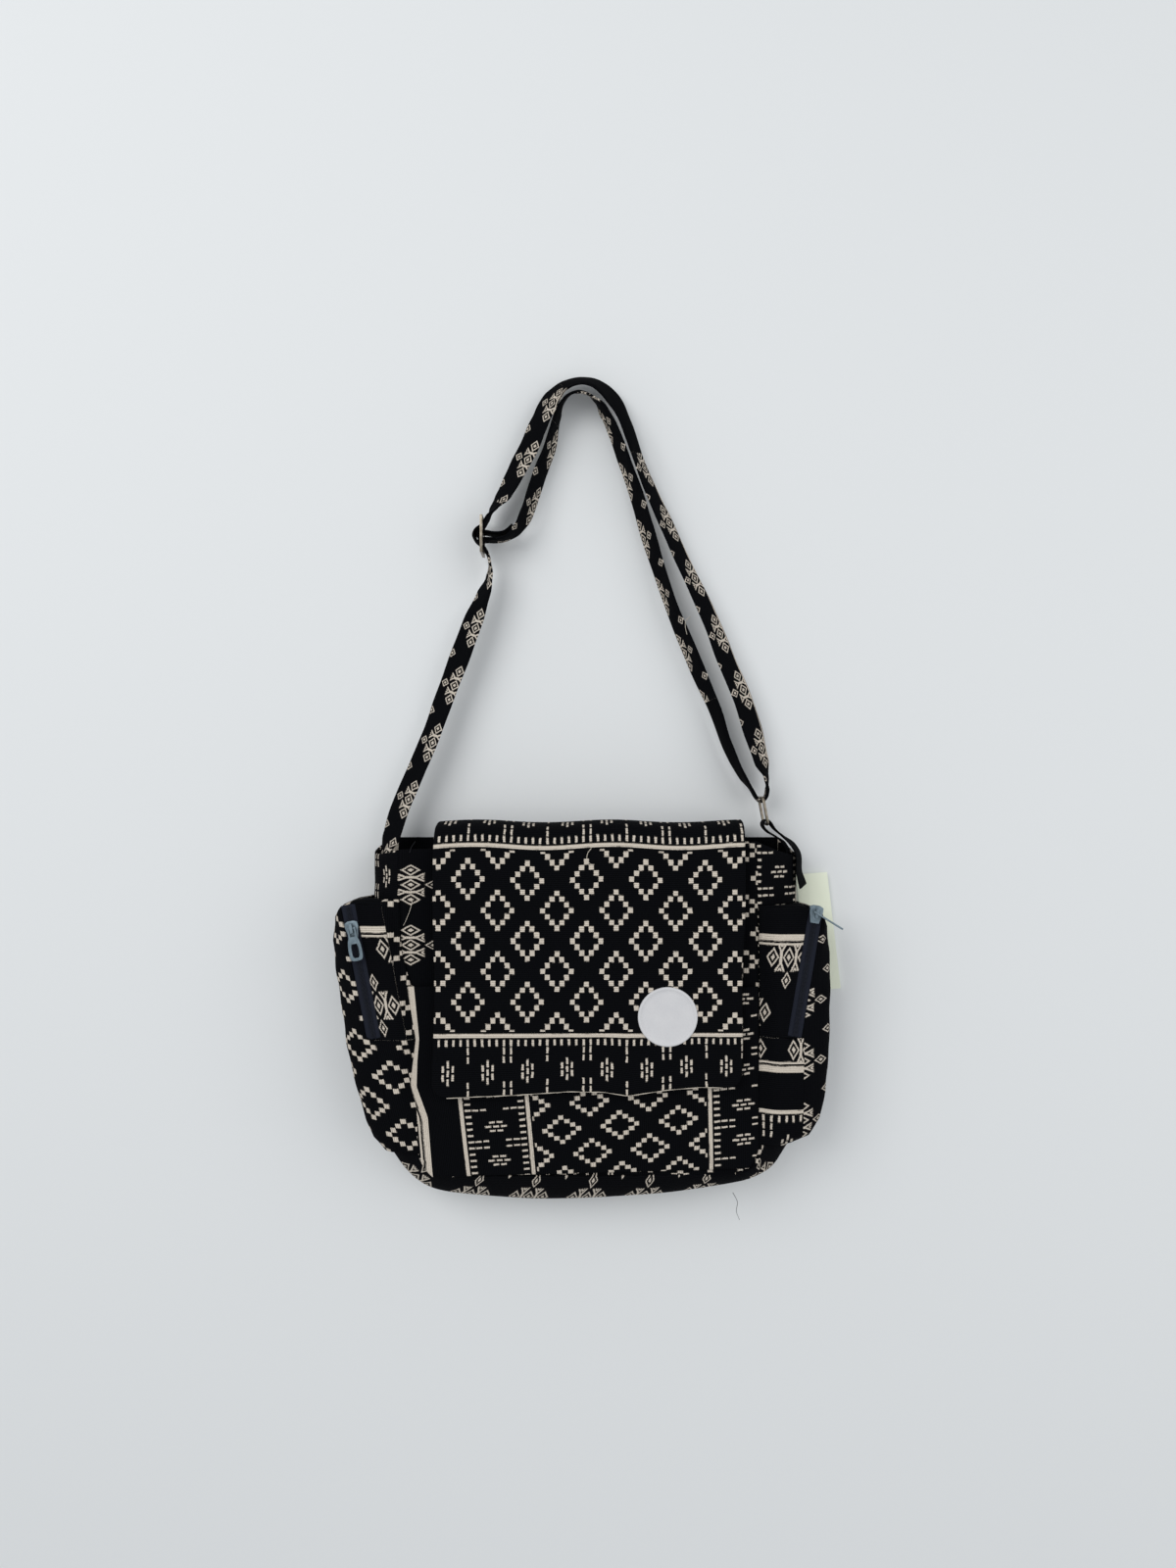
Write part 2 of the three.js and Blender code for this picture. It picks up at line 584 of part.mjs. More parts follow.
function swingTag() {
  const card = new THREE.Shape(TAG_CORNERS.map(([x, z]) => new THREE.Vector2(x, z)));
  const rim = [];
  for (let k = 0; k < 12; k++) {
    const a = (-k / 12) * 2 * Math.PI;
    rim.push(new THREE.Vector2(230 + 2.2 * Math.cos(a), -495 + 2.2 * Math.sin(a)));
  }
  card.holes.push(new THREE.Path(rim));
  const flat = new THREE.ExtrudeGeometry(card, { depth: TAG_T, bevelEnabled: false, curveSegments: 6 });
  flat.rotateX(Math.PI / 2);
  flat.translate(0, TAG_Y + TAG_T, 0);
  return fromGeometry(flat);
}

function tube(points, radius, steps) {
  const curve = curveThrough(points.map(([x, y, z]) => v3(x, y, z)));
  const rim = [];
  for (let k = 0; k < 6; k++) {
    rim.push(new THREE.Vector2(radius * Math.cos((k / 3) * Math.PI), radius * Math.sin((k / 3) * Math.PI)));
  }
  const round = new THREE.Shape(rim);
  return fromGeometry(
    new THREE.ExtrudeGeometry(round, { extrudePath: curve, steps, curveSegments: 3, bevelEnabled: false })
  );
}

const TAG_STRING = [
  [218.6, 6, -476], [221.5, 10, -481], [228, 13.2, -489], [230, 15.6, -495], [229.6, 17.8, -489],
  [224, 13, -480], [219.5, 9.4, -475],
];

// Materials and the finished group.

const cloth = { color: 0x14171c, roughness: 0.95, metalness: 0 };
const pale = { color: 0xe6e4df, roughness: 0.9, metalness: 0 };
const tapeLook = { color: 0x2d303c, roughness: 0.8, metalness: 0 };
const painted = { color: 0x64808a, roughness: 0.4, metalness: 0.6 };
const brass = { color: 0x6e6455, roughness: 0.35, metalness: 1 };
const paper = { color: 0xc8cdb9, roughness: 0.85, metalness: 0 };
const thread = { color: 0x1d1f24, roughness: 0.9, metalness: 0 };

const group = new THREE.Group();

function add(name, solid, look) {
  const { vertProperties, triVerts, numProp } = solid.getMesh();
  const geometry = new THREE.BufferGeometry();
  const positions = new Float32Array((vertProperties.length / numProp) * 3);
  for (let i = 0; i < positions.length / 3; i++) {
    for (let k = 0; k < 3; k++) {
      positions[i * 3 + k] = vertProperties[i * numProp + k];
    }
  }
  geometry.setAttribute("position", new THREE.BufferAttribute(positions, 3));
  geometry.setIndex(Array.from(triVerts));
  geometry.computeVertexNormals();
  const mesh = new THREE.Mesh(geometry, new THREE.MeshStandardMaterial(look));
  mesh.name = name;
  group.add(mesh);
}

add("front_panel", frontPanel, cloth);
add("gusset", gusset, cloth);
add("back_panel", backPanel, cloth);
add("flap", flap, cloth);
add("front_pocket", frontPocket, cloth);
add("left_pocket", finishedPocket(LEFT_SECTIONS, LEFT_INNER, LEFT_ZIP), cloth);
add("right_pocket", finishedPocket(RIGHT_SECTIONS, RIGHT_INNER, RIGHT_ZIP), cloth);
add("left_zip_outer_tape", zipHalf(LEFT_ZIP, -1), tapeLook);
add("left_zip_inner_tape", zipHalf(LEFT_ZIP, 1), tapeLook);
add("right_zip_inner_tape", zipHalf(RIGHT_ZIP, -1), tapeLook);
add("right_zip_outer_tape", zipHalf(RIGHT_ZIP, 1), tapeLook);
add("left_zip_slider", place(sliderShape, zipFrame(LEFT_ZIP, LEFT_ZIP.rest)), painted);
add("right_zip_slider", place(sliderShape, zipFrame(RIGHT_ZIP, RIGHT_ZIP.rest)), painted);
add("left_zip_puller", hangingPuller(LEFT_ZIP), painted);
add("right_zip_puller", sidewaysPuller(RIGHT_ZIP, 22), painted);
add("strap", strap, cloth);
add("strap_adjuster", adjusterFrame(), brass);
add("strap_ring", ringLoop(), brass);
add("ring_tab", band(TAB, 2, 2), cloth);
add("badge", badge(), pale);
add("swing_tag", swingTag(), paper);
add("tag_string", tube(TAG_STRING, 0.5, 24), thread);

export default group;
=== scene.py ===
# %% [markdown]
# # A messenger bag of jacquard cotton, hung by its strap
# The bag is sewn from one black and cream cloth, cut in different directions for each panel. A small metal
# adjuster and a ring carry the doubled strap, and two zips close the box pockets on its sides. The sliders,
# pullers and adjuster are CAD solids with rounded edges, and the tag and its string are CAD solids as they
# are. Every cloth panel is worked out here as a grid of points, because cloth has folds, rolled edges and
# seams that a CAD solid leaves out.

from functools import reduce

import bmesh
import bpy
import numpy as np
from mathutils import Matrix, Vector


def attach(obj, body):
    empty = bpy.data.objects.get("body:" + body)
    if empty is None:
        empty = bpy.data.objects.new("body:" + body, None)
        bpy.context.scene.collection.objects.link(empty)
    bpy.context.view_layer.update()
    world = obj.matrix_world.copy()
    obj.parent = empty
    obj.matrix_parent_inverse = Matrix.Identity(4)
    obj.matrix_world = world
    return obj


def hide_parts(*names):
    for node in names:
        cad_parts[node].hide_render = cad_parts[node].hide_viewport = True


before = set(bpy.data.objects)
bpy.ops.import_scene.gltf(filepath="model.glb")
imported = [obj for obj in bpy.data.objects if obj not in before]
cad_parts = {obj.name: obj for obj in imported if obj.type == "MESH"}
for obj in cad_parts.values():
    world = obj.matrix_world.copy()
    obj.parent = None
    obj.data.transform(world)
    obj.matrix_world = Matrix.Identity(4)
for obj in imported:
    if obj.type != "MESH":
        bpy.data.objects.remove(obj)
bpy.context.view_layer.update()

MM = 0.001

# %% [markdown]
# ## Turning grids into pieces
# A panel is a grid of points, rows by columns. Its thickness comes from moving the grid half a thickness
# along its own normals to each side and joining the two skins round the rim, so each piece is closed and
# faces outwards. The grid also carries two lengths on the cloth, in millimetres: one along the pattern's
# bands and one across them.


# %% Grid helpers
def quads_between(rows, columns, wrap=False):
    """Four-sided faces between neighbouring rows and columns: row r, column c with the next ones."""
    r, c = np.meshgrid(np.arange(rows - 1), np.arange(columns if wrap else columns - 1), indexing="ij")
    corner, beside = r * columns + c, r * columns + (c + 1) % columns
    return np.stack([corner, beside, beside + columns, corner + columns], -1).reshape(-1, 4)


def unit(vectors):
    """The same directions, each one long."""
    return vectors / np.maximum(np.linalg.norm(vectors, axis=-1, keepdims=True), 1e-9)


def normals_of(grid):
    """Unit normals: the cross product of the steps along the rows and along the columns."""
    return unit(np.cross(np.gradient(grid, axis=0), np.gradient(grid, axis=1)))


def face_outwards(mesh):
    """Makes the faces of a closed mesh agree, and turns them all out of its inside."""
    shape = bmesh.new()
    shape.from_mesh(mesh)
    bmesh.ops.recalc_face_normals(shape, faces=shape.faces)
    shape.to_mesh(mesh)
    shape.free()
    mesh.update()


def piece_from(name, points_mm, quads, cloth_uv=None, triangles=()):
    """A mesh object at the origin, from points in millimetres, with the cloth lengths as its own UV map."""
    mesh = bpy.data.meshes.new(name)
    faces = [*map(tuple, quads.tolist()), *map(tuple, triangles)]
    mesh.from_pydata((np.asarray(points_mm) * MM).tolist(), [], faces)
    if cloth_uv is not None:
        layer = mesh.uv_layers.new(name="Cloth")
        corners = np.concatenate([quads.ravel(), np.array(triangles, int).ravel()]).astype(int)
        layer.data.foreach_set("uv", np.asarray(cloth_uv, np.float32)[corners].ravel())
    mesh.polygons.foreach_set("use_smooth", np.ones(len(mesh.polygons), bool))
    face_outwards(mesh)
    made = bpy.data.objects.new(name, mesh)
    bpy.context.collection.objects.link(made)
    return made


RIM_BULGE = 0.32  # how far the middle of a cloth's edge stands out, as a share of its thickness


def thick_cloth(name, grid, thickness, uv):
    """Both skins lie half the thickness from the grid along its normals. The rims that join them are rounded
    by one more row of points, which stands out in the middle of the edge."""
    rows, columns = grid.shape[:2]
    out = normals_of(grid) * thickness / 2
    count = rows * columns
    points = np.concatenate([(grid + out).reshape(-1, 3), (grid - out).reshape(-1, 3)])
    front = quads_between(rows, columns)
    back = front[:, ::-1] + count
    index = np.arange(count).reshape(rows, columns)
    loop = np.concatenate([index[0, :-1], index[:-1, -1], index[-1, :0:-1], index[:0:-1, 0]])
    following = np.roll(loop, -1)
    two_sides = [(1, 0)] * (columns - 1) + [(0, -1)] * (rows - 1)
    inward = np.array(two_sides + [(-down, -right) for down, right in two_sides])
    r, c = np.unravel_index(loop, (rows, columns))
    border = grid[r, c]
    rim = border + unit(border - grid[r + inward[:, 0], c + inward[:, 1]]) * thickness * RIM_BULGE
    ring = 2 * count + np.arange(len(loop))
    ring_next = np.roll(ring, -1)
    edge = np.concatenate(
        [
            np.stack([following, loop, ring, ring_next], 1),
            np.stack([ring_next, ring, loop + count, following + count], 1),
        ]
    )
    flat_uv = uv.reshape(-1, 2)
    all_uv = np.concatenate([flat_uv, flat_uv, flat_uv[loop]])
    return piece_from(name, np.concatenate([points, rim]), np.concatenate([front, back, edge]), all_uv)


def rolling(grid, sizes, seed):
    """A smooth, uneven swell: a sum of sine waves in fixed, seeded directions, one for each wavelength in
    sizes."""
    chance = np.random.default_rng(seed)
    total = np.zeros(grid.shape[:2])
    for size in sizes:
        direction = unit(chance.normal(size=3))
        total += np.sin(grid @ direction * (2 * np.pi / size) + chance.uniform(0, 2 * np.pi))
    return total / len(sizes)


def steps(low, high, count):
    return np.linspace(low, high, count)


def mix(first, second, share):
    """The first where the share is 0, the second where it is 1, and a straight mix between."""
    return first * (1 - share) + second * share


def signed_power(value, power):
    """The power of a value's size, with the value's own sign."""
    return np.sign(value) * np.abs(value) ** power


def smooth_step(value, low, high):
    """0 below low, 1 above high, and an S-shaped rise between them."""
    t = np.clip((value - low) / (high - low), 0, 1)
    return t * t * (3 - 2 * t)


def arc_length(line):
    """Distance along a line of points from its first point."""
    return np.concatenate([[0], np.cumsum(np.linalg.norm(np.diff(line, axis=0), axis=1))])


def across_columns(grid):
    """Distance along each row of a grid from its first column."""
    stretches = np.linalg.norm(np.diff(grid, axis=1), axis=2)
    return np.concatenate([np.zeros((len(grid), 1)), np.cumsum(stretches, axis=1)], axis=1)


CUT_GAP = 0.0012  # in steps from one point to the next


def station_curve(points, per_point, cuts=()):
    """A centripetal Catmull-Rom line through the points, with as many steps between each two, its length so
    far and each step's place in the list. At each cut, given as a length, two steps lie almost together."""
    p = np.vstack([2 * points[0] - points[1], points, 2 * points[-1] - points[-2]])
    knots = np.concatenate([[0], np.cumsum(np.sqrt(np.linalg.norm(np.diff(p, axis=0), axis=1)))])
    place = steps(0, len(points) - 1, (len(points) - 1) * per_point + 1)
    if len(cuts):
        _, even_length, even_place = station_curve(points, per_point)
        at = np.interp(cuts, even_length, even_place)
        place = np.sort(np.concatenate([place, at - CUT_GAP, at + CUT_GAP]))
    k = np.minimum(np.floor(place).astype(int), len(points) - 2)
    t = (knots[k + 1] + (place - k) * (knots[k + 2] - knots[k + 1]))[:, None]
    t0, t1, t2, t3 = (knots[k + i][:, None] for i in range(4))
    a1, a2, a3 = (
        mix(p[k + i], p[k + i + 1], (t - start) / (end - start))
        for i, start, end in ((0, t0, t1), (1, t1, t2), (2, t2, t3))
    )
    b1, b2 = mix(a1, a2, (t - t0) / (t2 - t0)), mix(a2, a3, (t - t1) / (t3 - t1))
    line = mix(b1, b2, (t - t1) / (t2 - t1))
    return line, arc_length(line), place


def even_curve(points, count):
    """The same curve, read at even steps of its length."""
    line, length, _ = station_curve(np.asarray(points, float), 24)
    wanted = steps(0, length[-1], count)
    return np.stack([np.interp(wanted, length, column) for column in line.T], 1)


# %% [markdown]
# ## Camera
# The bag was photographed from straight in front, a little over a metre away with a wide lens, which is why
# its side pockets and the underside of the strap can be seen.

# %% Camera
camera_data = bpy.data.cameras.new("camera")
camera_data.lens, camera_data.sensor_width = 27, 36
camera = bpy.data.objects.new("camera", camera_data)
camera.location = (0.0099, -1.19, -0.3967)
camera.rotation_euler = (np.pi / 2, 0, 0)
bpy.context.collection.objects.link(camera)
bpy.context.scene.camera = camera

# %% [markdown]
# ## Shader sums as Python sums
# A woven figure is arithmetic on two lengths, along and across the cloth. Writing it as a chain of Math nodes
# by hand is slow to read, so a small class wraps a socket and turns each Python operator into one Math node.


# %% A socket that can be added and multiplied
class Value:
    """A number that varies over the surface. Every operator adds one Math node to the same tree."""

    def __init__(self, tree, socket):
        self.tree, self.socket = tree, socket

    def maths(self, operation, *others, clamp=False):
        made = self.tree.nodes.new("ShaderNodeMath")
        made.operation, made.use_clamp = operation, clamp
        for slot, other in zip(made.inputs, (self, *others)):
            if isinstance(other, Value):
                self.tree.links.new(other.socket, slot)
            else:
                slot.default_value = other
        return Value(self.tree, made.outputs[0])

    def fixed(self, number):
        made = self.tree.nodes.new("ShaderNodeValue")
        made.outputs[0].default_value = number
        return Value(self.tree, made.outputs[0])

    def __add__(self, other):
        return self.maths("ADD", other)

    __radd__ = __add__

    def __sub__(self, other):
        return self.maths("SUBTRACT", other)

    def __rsub__(self, other):
        return self.fixed(other) - self

    def __mul__(self, other):
        return self.maths("MULTIPLY", other)

    __rmul__ = __mul__

    def __truediv__(self, other):
        return self.maths("DIVIDE", other)

    def __abs__(self):
        return self.maths("ABSOLUTE")

    def either(self, other):
        return self.maths("MAXIMUM", other)

    def both(self, other):
        return self.maths("MINIMUM", other)

    def clamped(self, more=0.0):
        """This value, and more added to it, kept between 0 and 1."""
        return self.maths("ADD", more, clamp=True)

    def wave(self, period):
        """A sine with this period, from -1 to 1."""
        return (self * (2 * np.pi / period)).maths("SINE")

    def around(self, period, centre=0.0):
        """How far from the nearest of the evenly spaced centres, from -period/2 to period/2."""
        return (self - (centre - period / 2)).maths("FLOORED_MODULO", period) - period / 2


class Finish:
    """A material with its node tree, and one method that adds any node."""

    def __init__(self, name):
        self.material = bpy.data.materials.new(name)
        self.material.use_nodes = True
        self.tree = self.material.node_tree
        self.shader = self.tree.nodes["Principled BSDF"]

    def node(self, kind, settings=None, **sockets):
        """Adds a node of this kind, applies its settings, then links or sets its named or numbered inputs."""
        made = self.tree.nodes.new(kind)
        for key, value in (settings or {}).items():
            setattr(made, key, value)
        for key, value in sockets.items():
            slot = made.inputs[int(key[1:])] if key[1:].isdigit() and key[0] == "i" else made.inputs[key]
            self.feed(slot, value)
        return made

    def feed(self, slot, value):
        if isinstance(value, Value):
            self.tree.links.new(value.socket, slot)
        elif isinstance(value, bpy.types.NodeSocket):
            self.tree.links.new(value, slot)
        else:
            slot.default_value = value

    def value(self, socket):
        return Value(self.tree, socket)

    def cloth_lengths(self):
        """Along and across the cloth in millimetres, from the piece's own map."""
        cloth_map = self.node("ShaderNodeUVMap", {"uv_map": "Cloth"}).outputs[0]
        split = self.node("ShaderNodeSeparateXYZ", i0=cloth_map)
        return self.value(split.outputs[0]), self.value(split.outputs[1])

    def place(self):
        """The point on the object, in metres."""
        return self.node("ShaderNodeTexCoord").outputs["Object"]

    def noise(self, scale, detail=2.0):
        made = self.node("ShaderNodeTexNoise", Vector=self.place(), Scale=scale, Detail=detail)
        return self.value(made.outputs["Fac"])

    def colour_mix(self, factor, first, second):
        made = self.node("ShaderNodeMix", {"data_type": "RGBA"})
        self.feed(made.inputs["Factor"], factor)
        self.feed(made.inputs[6], first)
        self.feed(made.inputs[7], second)
        return made.outputs[2]

    def relief(self, height, distance, strength):
        made = self.node("ShaderNodeBump", Height=height, Distance=distance, Strength=strength)
        self.feed(self.shader.inputs["Normal"], made.outputs[0])

    def set(self, **values):
        for key, value in values.items():
            self.feed(self.shader.inputs[key.replace("_", " ")], value)
        return self.material


def srgb(red, green, blue):
    """A colour as it is written on screen, from 0 to 255, turned to the linear values that a shader takes."""
    c = np.array([red, green, blue]) / 255
    linear = np.where(c <= 0.04045, c / 12.92, ((c + 0.055) / 1.055) ** 2.4)
    return (*linear.tolist(), 1.0)


# The two darker colours below are painted shade: copies of the black and the cream yarn, darkened for the
# grooves between the ribs.
BLACK_YARN = srgb(13, 14, 17)
BLACK_PAINTED_SHADE = srgb(3, 3, 4)
CREAM_YARN = srgb(214, 204, 190)
CREAM_PAINTED_SHADE = srgb(140, 129, 114)

# %% [markdown]
# ## The jacquard cloth
# One width of the cloth repeats these bands: a field of stepped diamonds, a cream line, a ladder of ticks, a
# band with columns of dashes and small ovals, a ladder and a line again, plain black, a thick and a thin
# stripe, and clusters of outlined lozenges with forked stems between them. The whole order is mirrored about
# the middle of the diamonds and about the middle of the clusters. Each figure is given as a depth: above zero
# inside it and below zero outside, in millimetres. The larger of two depths joins two figures, so one clean-
# edged mask comes out.
#
# Each piece is cut from its own place in the cloth and at its own angle. The millimetres that a piece adds to
# or takes from its two lengths put the pattern where the photograph shows it on that piece.

# %% Figures of the cloth
FIELD_EDGE = 90.5  # from the middle of the diamonds to the first cream line
BAND_END = 156.5  # the second cream line, past the dashes
DASH_MIDDLE = (FIELD_EDGE + BAND_END) / 2
PLAIN = 176.0  # plain black on both sides of this
STRIPES = ((197.8, 3.1), (204.2, 1.2))  # the thick and the thin stripe: middle and half width
CLUSTER_ROW = 216.7
MIRROR = 270.7  # the second row of clusters lies on this line
LINE_HALF = 1.85
DIAMOND_STEP = (56.67, 58.3)
SQUARES = ((0.0, 16.8), (4.6, 11.4), (9.1, 5.7), (13.6, 0.0))  # a quarter of the squares round one lozenge
SQUARE_HALF = (2.3, 2.5)
TICK_STEP = 6.9
DASH_STEP = 75.9
CLUSTER_STEP = 58.4
RIB = 0.95  # the height of one step in a figure's edge
YARN = 0.85


def joined(shapes):
    """Several figures as one: the larger of their depths."""
    return reduce(Value.either, shapes)


def bar(value, centre, half):
    """Depth inside a straight bar: half its width, less the distance from its middle."""
    return half - abs(value - centre) if centre else half - abs(value)


def box_figure(x, y, at, half):
    """Depth inside a rectangle: the smaller of its depths along and across."""
    return bar(x, at[0], half[0]).both(bar(y, at[1], half[1]))


def stepped_diamonds(s, t):
    """Twelve small squares round each lozenge. Folding x and y about its middle leaves four of them to draw.
"""
    found = []
    for shift in (0.0, 0.5):
        x, y = (abs(v.around(step, shift * step)) for v, step in zip((s, t), DIAMOND_STEP))
        found += [box_figure(x, y, at, SQUARE_HALF) for at in SQUARES]
    return joined(found)


def dash_band(s, a):
    """Ladder ticks on both edges, then single and paired columns of dashes, and ovals between the columns."""
    ticks = bar(s.around(TICK_STEP), 0, 1.1)
    across = abs(a - DASH_MIDDLE)
    ladder = ticks.both(bar(across, 26.6, 3.1))
    x = abs(s.around(DASH_STEP))
    column = bar(x, 0, 0.95).either(bar(x, DASH_STEP / 2 - 3.4, 0.95))
    dashes = bar(across, 11.4, 3.0).either(bar(across, 19.3, 3.0))
    oval_x = abs(s.around(DASH_STEP / 2, DASH_STEP / 4))
    middle = bar(oval_x, 0, 1.05).both(bar(across, 0, 2.9).either(bar(across, 8.0, 2.9)))
    flank = bar(oval_x, 4.7, 1.05).both(bar(across, 4.0, 2.9))
    return ladder.either(column.both(dashes)).either(middle.either(flank))


def lozenge(x, y, wide, high):
    """A lozenge outline round a small filled one. Its size is the sum of both distances, each over its half
    width."""
    size = x / wide + y / high
    return (bar(size, 0.86, 0.13) * 4.0).either((0.33 - size) * 4.0)


def clusters(s, a):
    """Three lozenges in a row with forked stems between them, and a single lozenge beside the row, away from
    the stripes. The next row is half a step further on."""
    found = []
    for row, shift in ((CLUSTER_ROW, 0.0), (MIRROR, CLUSTER_STEP / 2)):
        x = abs(s.around(CLUSTER_STEP, shift))
        y = abs(a - row)
        stem = abs(x - 7.15)
        trunk = bar(stem, 0, 1.15).both(5.5 - y)
        outer_tine = bar(stem - (y - 4.5) * 0.42, 0, 0.85).both(bar(y, 9.0, 4.5))
        inner_tine = bar(stem - (y - 10.0) * 0.42, 0, 0.7).both(bar(y, 11.75, 1.75))
        alone = abs(a - (CLUSTER_ROW + 22)) if row == CLUSTER_ROW else abs(y - 22)
        found += [lozenge(x, y, 5.6, 9.8), lozenge(abs(x - 14.3), y, 5.6, 9.8), lozenge(x, alone, 4.4, 8.4)]
        found += [trunk, outer_tine, inner_tine]
    return joined(found)


def cloth_figures(s, t):
    """All the bands, each kept to its own place across the cloth."""
    a = MIRROR - abs(abs(t) - MIRROR)
    lines = [bar(a, place, LINE_HALF) for place in (FIELD_EDGE, BAND_END)]
    lines += [bar(a, middle, half) for middle, half in STRIPES]
    diamonds = stepped_diamonds(s, t).both(FIELD_EDGE - 4.0 - a)
    return joined([*lines, diamonds, dash_band(s, a), clusters(s, a)])


def jacquard(name):
    """Ribs run along the bands. The figures' edges go in steps of half a rib, as floats of cream yarn do."""
    finish = Finish(name)
    s, t = finish.cloth_lengths()
    wobble = finish.noise(140.0, 3.0)
    fuzz = finish.noise(1400.0, 2.0)
    stepped = (t / RIB).maths("FLOOR") * RIB + RIB / 2
    along = s + (wobble - 0.5) * 1.7 + (fuzz - 0.5) * 1.2
    depth = cloth_figures(along, stepped + (wobble - 0.5) * 1.1)
    mask = (depth * 2.6 + 0.5 + (fuzz - 0.5) * 1.3).clamped()
    rib = t.wave(2 * RIB) * 0.5 + 0.5
    yarn = s.wave(YARN) * 0.5 + 0.5
    # Painted shade in the grooves between the ribs and yarns: this mix goes from each yarn's darker painted
    # copy in the grooves to its own colour on the ribs, and its fine noise adds an uneven yarn tone as well.
    rib_shade_and_tone = (rib * 0.5 + yarn * 0.25 + (fuzz - 0.35) * 1.1).clamped()
    dark = finish.colour_mix(rib_shade_and_tone, BLACK_PAINTED_SHADE, BLACK_YARN)
    light = finish.colour_mix((rib_shade_and_tone * 1.3).clamped(0.05), CREAM_PAINTED_SHADE, CREAM_YARN)
    colour = finish.colour_mix(mask, dark, light)
    finish.relief(rib * 0.5 + yarn * 0.25 + mask * 0.5 + fuzz * 0.4, 0.0006, 0.55)
    print(name, "has", len(finish.tree.nodes), "shader nodes")
    return finish.set(Base_Color=colour, Roughness=0.95, Specular_IOR_Level=0.035)


cloth = jacquard("black and cream jacquard")


def paint(piece, material):
    piece.data.materials.clear()
    piece.data.materials.append(material)


def dress(piece, material, body="bag", replaces=()):
    """Gives a finished piece its material, the body it moves with and the CAD nodes that it stands for."""
    paint(piece, material)
    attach(piece, body)
    if replaces:
        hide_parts(*replaces)
    return piece


def cloth_piece(name, grid, thickness, uv, turned=True, replaces=None):
    """A dressed piece of the cloth. A grid whose columns run from left to right is turned to face the camera.
"""
    order = slice(None, None, -1 if turned else 1)
    piece = thick_cloth(name, grid[:, order], thickness, uv[:, order])
    return dress(piece, cloth, replaces=[name] if replaces is None else replaces)


# %% [markdown]
# ## The body: front panel, gusset and back panel
# Three outlines carry the bag's shape: the seam of the front panel, the fullest line in the middle of the
# gusset, and the seam of the back panel. The gusset's surface runs between the two seams and swells to the
# middle line with a sine raised to a power below one, so that it leaves each seam steeply, as a soft bag
# does.

# %% Outlines
FRONT_Y, BACK_Y, PUFF = -50.0, 20.0, 0.75
FRONT_LINE = [
    (-175, -461), (-175, -520), (-173, -580), (-169, -630), (-165, -690), (-160, -735), (-150, -762),
    (-128, -774), (-60, -776), (10, -776), (90, -776), (145, -775), (172, -767), (181, -745), (181, -690),
    (178, -630), (176, -580), (175, -520), (174, -453),
]  # fmt: skip
MIDDLE_LINE = [
    (-203, -466), (-203, -520), (-203, -580), (-203, -640), (-202, -695), (-198, -735), (-184, -764),
    (-150, -797), (-60, -809), (10, -810), (90, -803), (150, -794), (190, -780), (210, -750), (216, -700),
    (217, -640), (217, -580), (217, -520), (217, -468),
]  # fmt: skip
BACK_LINE = [
    (-192, -452), (-192, -520), (-190, -580), (-188, -640), (-186, -695), (-182, -735), (-172, -762),
    (-140, -782), (-60, -786), (10, -786), (90, -784), (150, -780), (184, -768), (197, -745), (201, -700),
    (203, -640), (204, -580), (205, -520), (205, -452),
]  # fmt: skip
AROUND = 220  # points on each outline
OUTLINES = [even_curve(line, AROUND) for line in (FRONT_LINE, MIDDLE_LINE, BACK_LINE)]
front_line, _, back_line = OUTLINES


def swollen(front, middle, back, depth):
    """The straight mix of both seams at this depth, plus the swell towards the middle line."""
    q = np.clip((depth - FRONT_Y) / (BACK_Y - FRONT_Y), 0, 1)
    return mix(front, back, q) + (middle - (front + back) / 2) * np.sin(np.pi * q) ** PUFF


def body_point(around, depth):
    """A point of the body's skin, from a place along the outlines and a depth."""
    index = np.arange(AROUND)
    lines = (np.stack([np.interp(around, index, line[:, i]) for i in (0, 1)], -1) for line in OUTLINES)
    flat = swollen(*lines, depth[..., None])
    return np.stack([flat[..., 0], depth, flat[..., 1]], -1)


def outward(around, depth):
    """Unit normals of the skin, in XZ only: at right angles to the outline."""
    along = body_point(around + 0.5, depth) - body_point(around - 0.5, depth)
    return unit(np.stack([along[..., 2], 0 * along[..., 0], -along[..., 0]], -1))


# %% Gusset
CLOTH_T = 2.2
GUSSET_ROWS, GUSSET_COLUMNS, MIDDLE_COLUMN = 440, 38, 19
BOTTOM_ROWS = slice(150, 290)
SIDES_DOWN_TO = -620  # below this the gusset shows the bottom's pattern
LEFT_DASHES_Z = -486.8  # the middle of the dashes crosses the left side here
RIGHT_START_Z = -463.6  # the lengths along the bands on the right side are measured from here
GUSSET_START_Y = -46.3  # and the lengths round the gusset from here
BOTTOM_START_X = 6.0
SEAM_GAP = 0.3
# the columns lie closer together near both seams
half_depth = (BACK_Y - FRONT_Y) / 2 - SEAM_GAP
depths = (FRONT_Y + BACK_Y) / 2 - half_depth * np.cos(np.pi * steps(0, 1, GUSSET_COLUMNS))
gusset_around, gusset_depth = np.meshgrid(steps(0, AROUND - 1, GUSSET_ROWS), depths, indexing="ij")
gusset_grid = body_point(gusset_around, gusset_depth)
gusset_arc = across_columns(gusset_grid)
gusset_run = arc_length(gusset_grid[:, MIDDLE_COLUMN])
near_seam = np.exp(-gusset_arc / 7) + np.exp(-(gusset_arc[:, -1:] - gusset_arc) / 7)
pucker = np.sin(gusset_run[:, None] / 2.3 + 1.5 * np.sin(gusset_run[:, None] / 17)) * near_seam * 0.45
swell = rolling(gusset_grid, (55, 38, 90, 26), 3) * 1.3 * (1 - np.clip(near_seam, 0, 1))
gusset_grid = gusset_grid + outward(gusset_around, gusset_depth) * (pucker + swell - CLOTH_T / 2)[..., None]
